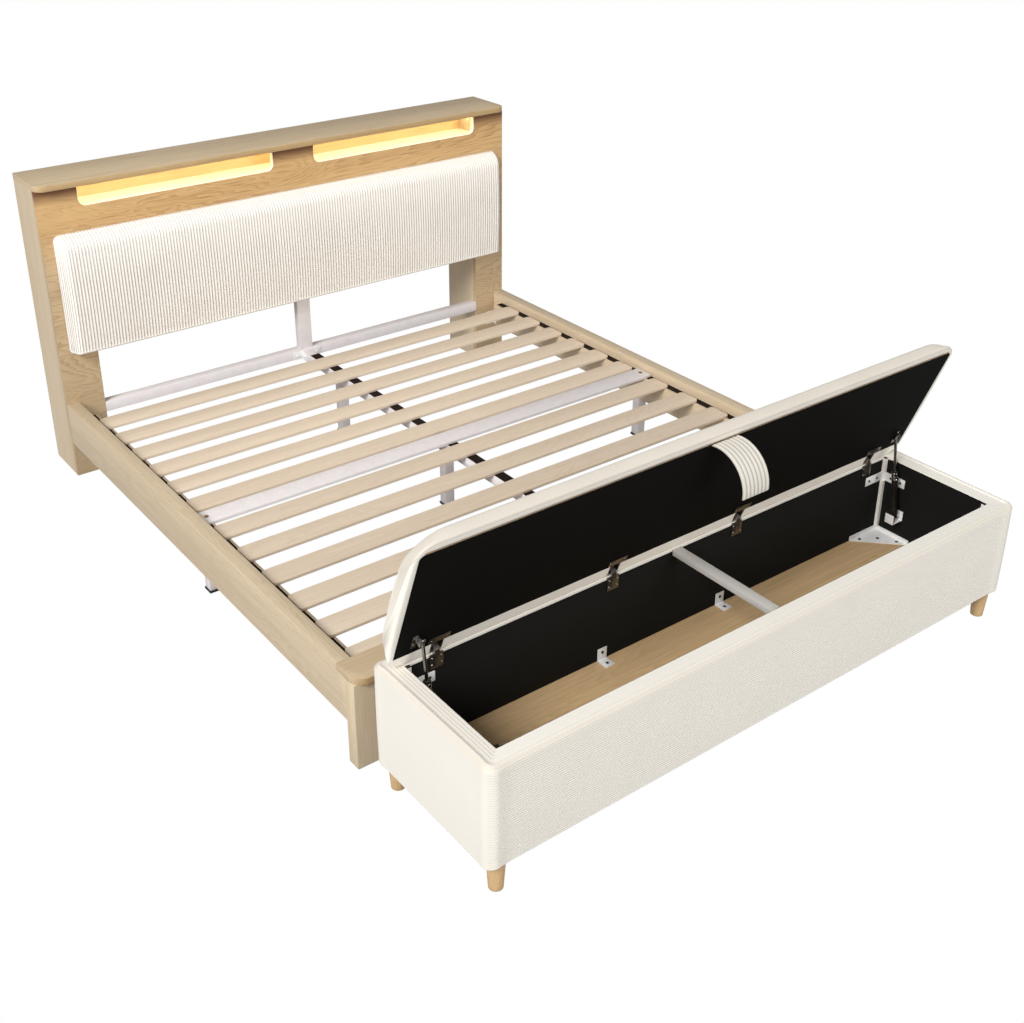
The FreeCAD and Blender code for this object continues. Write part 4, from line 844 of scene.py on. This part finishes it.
def make_lid_lining():
    """Black sheet under the lid: a flat grid with a faint ripple, rounded in front, notched at the cups."""
    side, front, rear, corner = 1.020, LID_FRONT + 0.031, -0.026, 0.016
    proud, ripple_height = 0.0007, 0.0004
    cuts = (HINGES[:, None] + np.array([-CUP_HALF, CUP_HALF])).ravel()
    x = np.unique(np.round(np.concatenate([np.linspace(-side, side, 90), cuts]), 6))
    y = np.concatenate([front + corner * (1 - np.cos(np.linspace(0, np.pi / 2, 7)[:-1])),
                        np.linspace(front + corner, CUP_FRONT, 22), [rear]])
    ripple = ripple_height * np.sin(x[:, None] * 23) * np.sin(y[None, :] * 31)
    level = -LID_HALF - proud + ripple * smooth((side - np.abs(x[:, None])) / 0.05)
    narrow = 1 - quarter(y - front, corner) / side
    points = np.stack(np.broadcast_arrays(x[:, None] * narrow, y[None, :], level), -1)
    near = at_cups((x[:-1] + x[1:]) / 2)
    last = np.arange(len(y) - 1) == len(y) - 2
    faces = grid_faces(len(x), len(y))[~(near[:, None] & last[None, :])]
    lining = mesh_of("lid_lining_cloth", lid_place(points), faces)
    settle(lining, "lid", "lining", "black_cloth", "lid_lining")


def make_bench_lining():
    """Black band round the bench's inside walls: a rounded rectangle carried up, lower at the rear."""
    low, high = corners_of("bench_lining")
    inset, foot, rear_drop = 0.0016, 0.0005, 0.007
    path, _ = rectangle(high[0] - inset, low[1] + inset, high[1] - inset, 0.006,
                        long_steps=60, short_steps=14, corner_steps=5)
    level = np.linspace(low[2] + foot, high[2], 12)
    drop = rear_drop * smooth((path[:, 1] - high[1] + 0.05) / 0.04)
    heights = level[:, None] - drop[None, :] * np.linspace(0, 1, len(level))[:, None]
    around = np.broadcast_to(path[None], (len(level), len(path), 2))
    points = np.concatenate([around, heights[..., None]], -1)
    faces = grid_faces(len(level), len(path), around=True)[..., ::-1].reshape(-1, 4)
    band = mesh_of("bench_lining_cloth", points, faces)
    settle(band, "bench", "wall_lining_painted_light", "black_cloth", "bench_lining")


def make_strap():
    """Pull strap: a flat ribbed section carried along an arc from the lid's seam, its tip drawn thin."""
    width, thick, radius, ribs = 0.104, 0.006, 0.110, 7
    valley, rib_height, gap = 0.0012, 0.0016, 0.0012
    lean, sweep, tip_sweep = np.radians(32), np.radians(108), np.radians(2.5)
    seam = LID_FRONT + 0.032
    angle = lean - np.linspace(0, sweep, 60)
    centre = np.array([seam + radius * np.cos(lean), -LID_HALF - radius * np.sin(lean)])
    across = np.linspace(-0.5, 0.5, ribs * 8 + 1)
    height = rib(across + 0.5, 1 / ribs)
    edge = np.sqrt(np.maximum(1 - np.clip((np.abs(across) - 0.46) / 0.04, 0, 1) ** 2, 0))
    face = (thick / 2 - valley + rib_height * height) * (0.12 + 0.88 * edge)
    offset = np.concatenate([face, -face[::-1]])
    side = np.concatenate([across, across[::-1]]) * width
    tip = np.sqrt(np.maximum(1 - np.clip((angle - angle[-1]) / tip_sweep - 1, -1, 0) ** 2, 0))
    reach = radius - thick / 2 + offset[None, :] * (0.15 + 0.85 * tip[:, None])
    y = centre[0] - reach * np.cos(angle)[:, None]
    z = centre[1] + reach * np.sin(angle)[:, None]
    x = side[None, :] * (1 - 0.05 * (1 - tip[:, None]))
    points = np.stack(np.broadcast_arrays(x, y, z), -1)
    points[..., 2] = np.minimum(points[..., 2], -LID_HALF - gap)
    rows, cols = points.shape[:2]
    shade = np.concatenate([height, height[::-1]])
    strap = mesh_of("pull_strap", lid_place(points), tube_faces(rows, cols)[:, ::-1],
                    rib=np.broadcast_to(shade, (rows, cols)))
    settle(strap, "lid", "strap_cloth_painted_shade", "corduroy", "lid_strap")
    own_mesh(strap)


def make_slot_edging():
    """Pale edging in the headboard's two light slots: a thin flat section carried along the slot's outline.

    It goes down one side, round the lower corners and up the other side; its points are the outline's, moved
    by up to a thickness along the inward direction.
    """
    front, rear = (corner[1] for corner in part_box("headboard_front_panel"))
    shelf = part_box("headboard_top_shelf")[0][2]
    near, far = 0.092, 0.894
    bottom, corner, thick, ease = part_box("cubby_floor")[1][2], 0.028, 0.0014, 0.0005
    turn = np.linspace(0, np.pi / 2, 12)
    middle, half = (near + far) / 2, (far - near) / 2 - corner
    top = [shelf - bottom]
    across = np.concatenate([
        [half + corner], half + corner * np.cos(turn), -half - corner * np.sin(turn), [-half - corner]])
    level = np.concatenate([top, corner - corner * np.sin(turn), corner - corner * np.cos(turn), top])
    aside = np.concatenate([[-1.0], -np.cos(turn), np.sin(turn), [1.0]])
    up = np.concatenate([[0.0], np.sin(turn), np.cos(turn), [0.0]])
    inward = np.array([0, 0, ease, thick - ease, thick, thick])
    depth = np.array([rear, front, front - ease, front - ease, front, rear])
    shapes = []
    for sign in (-1, 1):
        x = sign * middle + across[:, None] + aside[:, None] * inward[None, :]
        z = bottom + level[:, None] + up[:, None] * inward[None, :]
        points = np.stack(np.broadcast_arrays(x, depth[None, :], z), -1)
        shapes.append((points, tube_faces(len(across), len(depth))))
    settle(many("slot_edging", shapes), "bed_frame", "edging", "pale_wood")


def make_strut_collars():
    """Bright collars on the gas struts' cylinders: a stepped radius turned round each strut's line."""
    along = np.array([0.0, np.sin(STRUT_TILT), np.cos(STRUT_TILT)])
    aside = np.array([1.0, 0.0, 0.0])
    third = np.cross(along, aside)
    run = np.array([0.138, 0.1385, 0.142, 0.143, 0.150, 0.151, 0.160, 0.1625, 0.164, 0.164])
    radius = np.array([0.0108, 0.0122, 0.0122, 0.0114, 0.0114, 0.0122, 0.0122, 0.0118, 0.0114, 0.0108])
    turn = np.linspace(0, 2 * np.pi, 32, endpoint=False)
    ring = np.cos(turn)[:, None] * aside + np.sin(turn)[:, None] * third
    for side, body in ((-1, "left_strut_cylinder"), (1, "right_strut_cylinder")):
        foot = np.array([side * STRUT_X, STRUT_FOOT_Y, STRUT_FOOT_Z])
        points = foot + run[:, None, None] * along + radius[:, None, None] * ring
        collar = mesh_of(body + "_collar", points, ring_faces(len(run), len(turn)))
        settle(collar, body, "rod", "polished_rod")


def screw_head(place, axis, radius):
    """A domed screw head: its height falls with the square of the distance, less a cross-shaped recess."""
    dome, recess, skirt, arm_half, arm_length = 0.42, 0.26, 0.05, 0.16, 0.62
    axis = np.asarray(axis, float) / np.linalg.norm(axis)
    aside = np.cross(axis, (0.31, 0.87, 0.39))
    aside /= np.linalg.norm(aside)
    third = np.cross(axis, aside)
    ring = np.concatenate([np.linspace(0.02, 1, 9), [1.0]])
    turn = np.linspace(0, 2 * np.pi, 24, endpoint=False)
    u = ring[:, None] * np.cos(turn)
    v = ring[:, None] * np.sin(turn)
    nearer, farther = np.minimum(np.abs(u), np.abs(v)), np.maximum(np.abs(u), np.abs(v))
    height = dome * (1 - 0.75 * ring[:, None] ** 2) - recess * ((nearer < arm_half) & (farther < arm_length))
    height[-1] = -skirt
    head = u[..., None] * aside + v[..., None] * third + height[..., None] * axis
    return np.asarray(place) + radius * head, tube_faces(len(ring), len(turn))[:, ::-1]


def make_bench_screws():
    """Screws in the bench's corner plates, floor brackets, angle brackets and hinge plates."""
    lining_thickness, steel, plate_steel = 0.002, 0.0026, 0.0031
    low, high = corners_of("bench_lining")
    inner_x, rear, front = high[0] - lining_thickness, high[1] - lining_thickness, low[1] + lining_thickness
    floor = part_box("bench_floor")[1][2]
    bench_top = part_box("bench_cover")[1][2]
    angle_level, plate_level = bench_top - 0.071, bench_top - 0.047
    up, forwards = (0, 0, 1), (0, -1, 0)
    bench = []
    for x_sign in (-1, 1):
        for y, y_way in ((rear, -1), (front, 1)):
            corner = np.array([x_sign * inner_x, y, floor])
            for run_x, run_y in ((0.104, 0.016), (0.016, 0.104), (0.050, 0.050)):
                bench.append(screw_head(corner + (-x_sign * run_x, y_way * run_y, steel), up, 0.0055))
    for x in (-0.286, 0.206):
        for y, y_way in ((rear, -1), (front, 1)):
            bench.append(screw_head((x, y + y_way * 0.026, floor + steel), up, 0.0050))
            bench.append(screw_head((x, y + y_way * steel, floor + 0.027), (0, y_way, 0), 0.0050))
    for x_sign in (-1, 1):
        for run in (0.035, 0.075):
            on_rear = (x_sign * (inner_x - run), rear - steel, angle_level)
            on_side = (x_sign * (inner_x - steel), rear - run, angle_level)
            bench.append(screw_head(on_rear, forwards, 0.0048))
            bench.append(screw_head(on_side, (-x_sign, 0, 0), 0.0048))
    settle(many("bench_screws", bench), "bench", "screw", "bronze")
    plates = [screw_head((x + aside, rear - plate_steel, plate_level + rise), forwards, 0.0040)
              for x in HINGES for aside in (-0.015, 0.015) for rise in (0.012, 0.034)]
    settle(many("hinge_plate_screws", plates), "bench", "rod", "polished_rod")


def make_lid_screws():
    """Screws in the ears of the lid's hinge cups and in its strut brackets."""
    ear_steel, bracket_steel = 0.0035, 0.004
    ears = [(x + aside, -0.042, -LID_HALF - ear_steel) for x in HINGES for aside in (-0.026, 0.026)]
    brackets = [(x, y, -LID_HALF - bracket_steel) for x in (-0.967, 0.967) for y in (-0.092, -0.066)]
    heads = [screw_head(place, -LID_NORMAL, 0.0045) for place in lid_place(ears)]
    heads += [screw_head(place, -LID_NORMAL, 0.0042) for place in lid_place(brackets)]
    settle(many("lid_screws", heads), "lid", "rod", "polished_rod")


# Studio

def area_light(name, place, power, size, aim=None, **settings):
    """An area light, straight down unless it has a point to aim at."""
    light = bpy.data.lights.new(name, "AREA")
    light.energy = power
    light.size = size
    for label, value in settings.items():
        setattr(light, label, value)
    lamp = bpy.data.objects.new(name, light)
    lamp.location = place
    if aim:
        lamp.rotation_euler = (Vector(aim) - Vector(place)).to_track_quat("-Z", "Y").to_euler()
    bpy.context.scene.collection.objects.link(lamp)


def make_stage():
    """A plain white floor and sky that glow softly."""
    reach, sunk = 30.0, 0.001
    square = np.array([[-reach, -reach, 0], [reach, -reach, 0], [reach, reach, 0], [-reach, reach, 0]])
    floor = mesh_of("studio_floor", square - (0, 0, sunk), [[0, 1, 2, 3]])
    made = bpy.data.materials.new("studio_floor")
    made.use_nodes = True
    tree = made.node_tree
    tree.nodes.remove(tree.nodes["Principled BSDF"])
    seen = put(tree, "LightPath").outputs["Is Camera Ray"]
    light = put(tree, "Emission", {"Strength": spread(tree, seen, 0.0, 1.0, FLOOR_LIGHT, 1.0)})
    feed(tree, tree.nodes["Material Output"], {"Surface": light.outputs[0]})
    floor.data.materials.append(made)

    world = bpy.data.worlds.new("studio")
    world.use_nodes = True
    tree = world.node_tree
    seen = put(tree, "LightPath").outputs["Is Camera Ray"]
    feed(tree, tree.nodes["Background"], {
        "Color": (1, 1, 1, 1), "Strength": spread(tree, seen, 0.0, 1.0, SKY_LIGHT, 1.0)})
    bpy.context.scene.world = world
    bpy.context.scene.view_settings.view_transform = "Standard"


def make_lights():
    """One wide light from the upper left, a weak one from the front, and small warm ones in the slots.

    The small ones lie in line with the light strips and carry their glow on between and past them.
    """
    area_light("key", (-10.6, -4.2, 9.0), 2020.0, 6.0, aim=(0, 0, 0.4))
    area_light("front", (2.0, -16.0, 6.5), 1040.0, 7.0, aim=(0, 0, 0.3))
    low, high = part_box("light_strips")
    for name, x, length, power in (
            ("glow_middle", 0.0, 0.20, 0.16),
            ("glow_left", -0.886, 0.02, 0.03),
            ("glow_right", 0.886, 0.02, 0.03)):
        area_light(name, (x, (low[1] + high[1]) / 2, low[2]), power, length,
                   shape="RECTANGLE", size_y=high[1] - low[1], color=(1.0, 0.80, 0.45))


def make_camera():
    """The photograph's viewpoint, found by fitting its straight edges."""
    camera = bpy.data.cameras.new("viewpoint")
    camera.sensor_width = 36
    camera.lens = 46.51
    camera.shift_x = 0.0125
    camera.shift_y = -0.1009
    holder = bpy.data.objects.new("viewpoint", camera)
    holder.location = (-2.464, -3.433, 2.539)
    holder.rotation_mode = "QUATERNION"
    holder.rotation_quaternion = Vector((0.53754, 0.72081, -0.43759)).to_track_quat("-Z", "Y")
    bpy.context.scene.collection.objects.link(holder)
    bpy.context.scene.camera = holder


make_camera()
make_stage()
make_lights()
dress_frame()
make_pad()
make_bench_cover()
make_lid_pad()
make_lid_lining()
make_bench_lining()
make_strap()
make_slot_edging()
make_strut_collars()
make_bench_screws()
make_lid_screws()
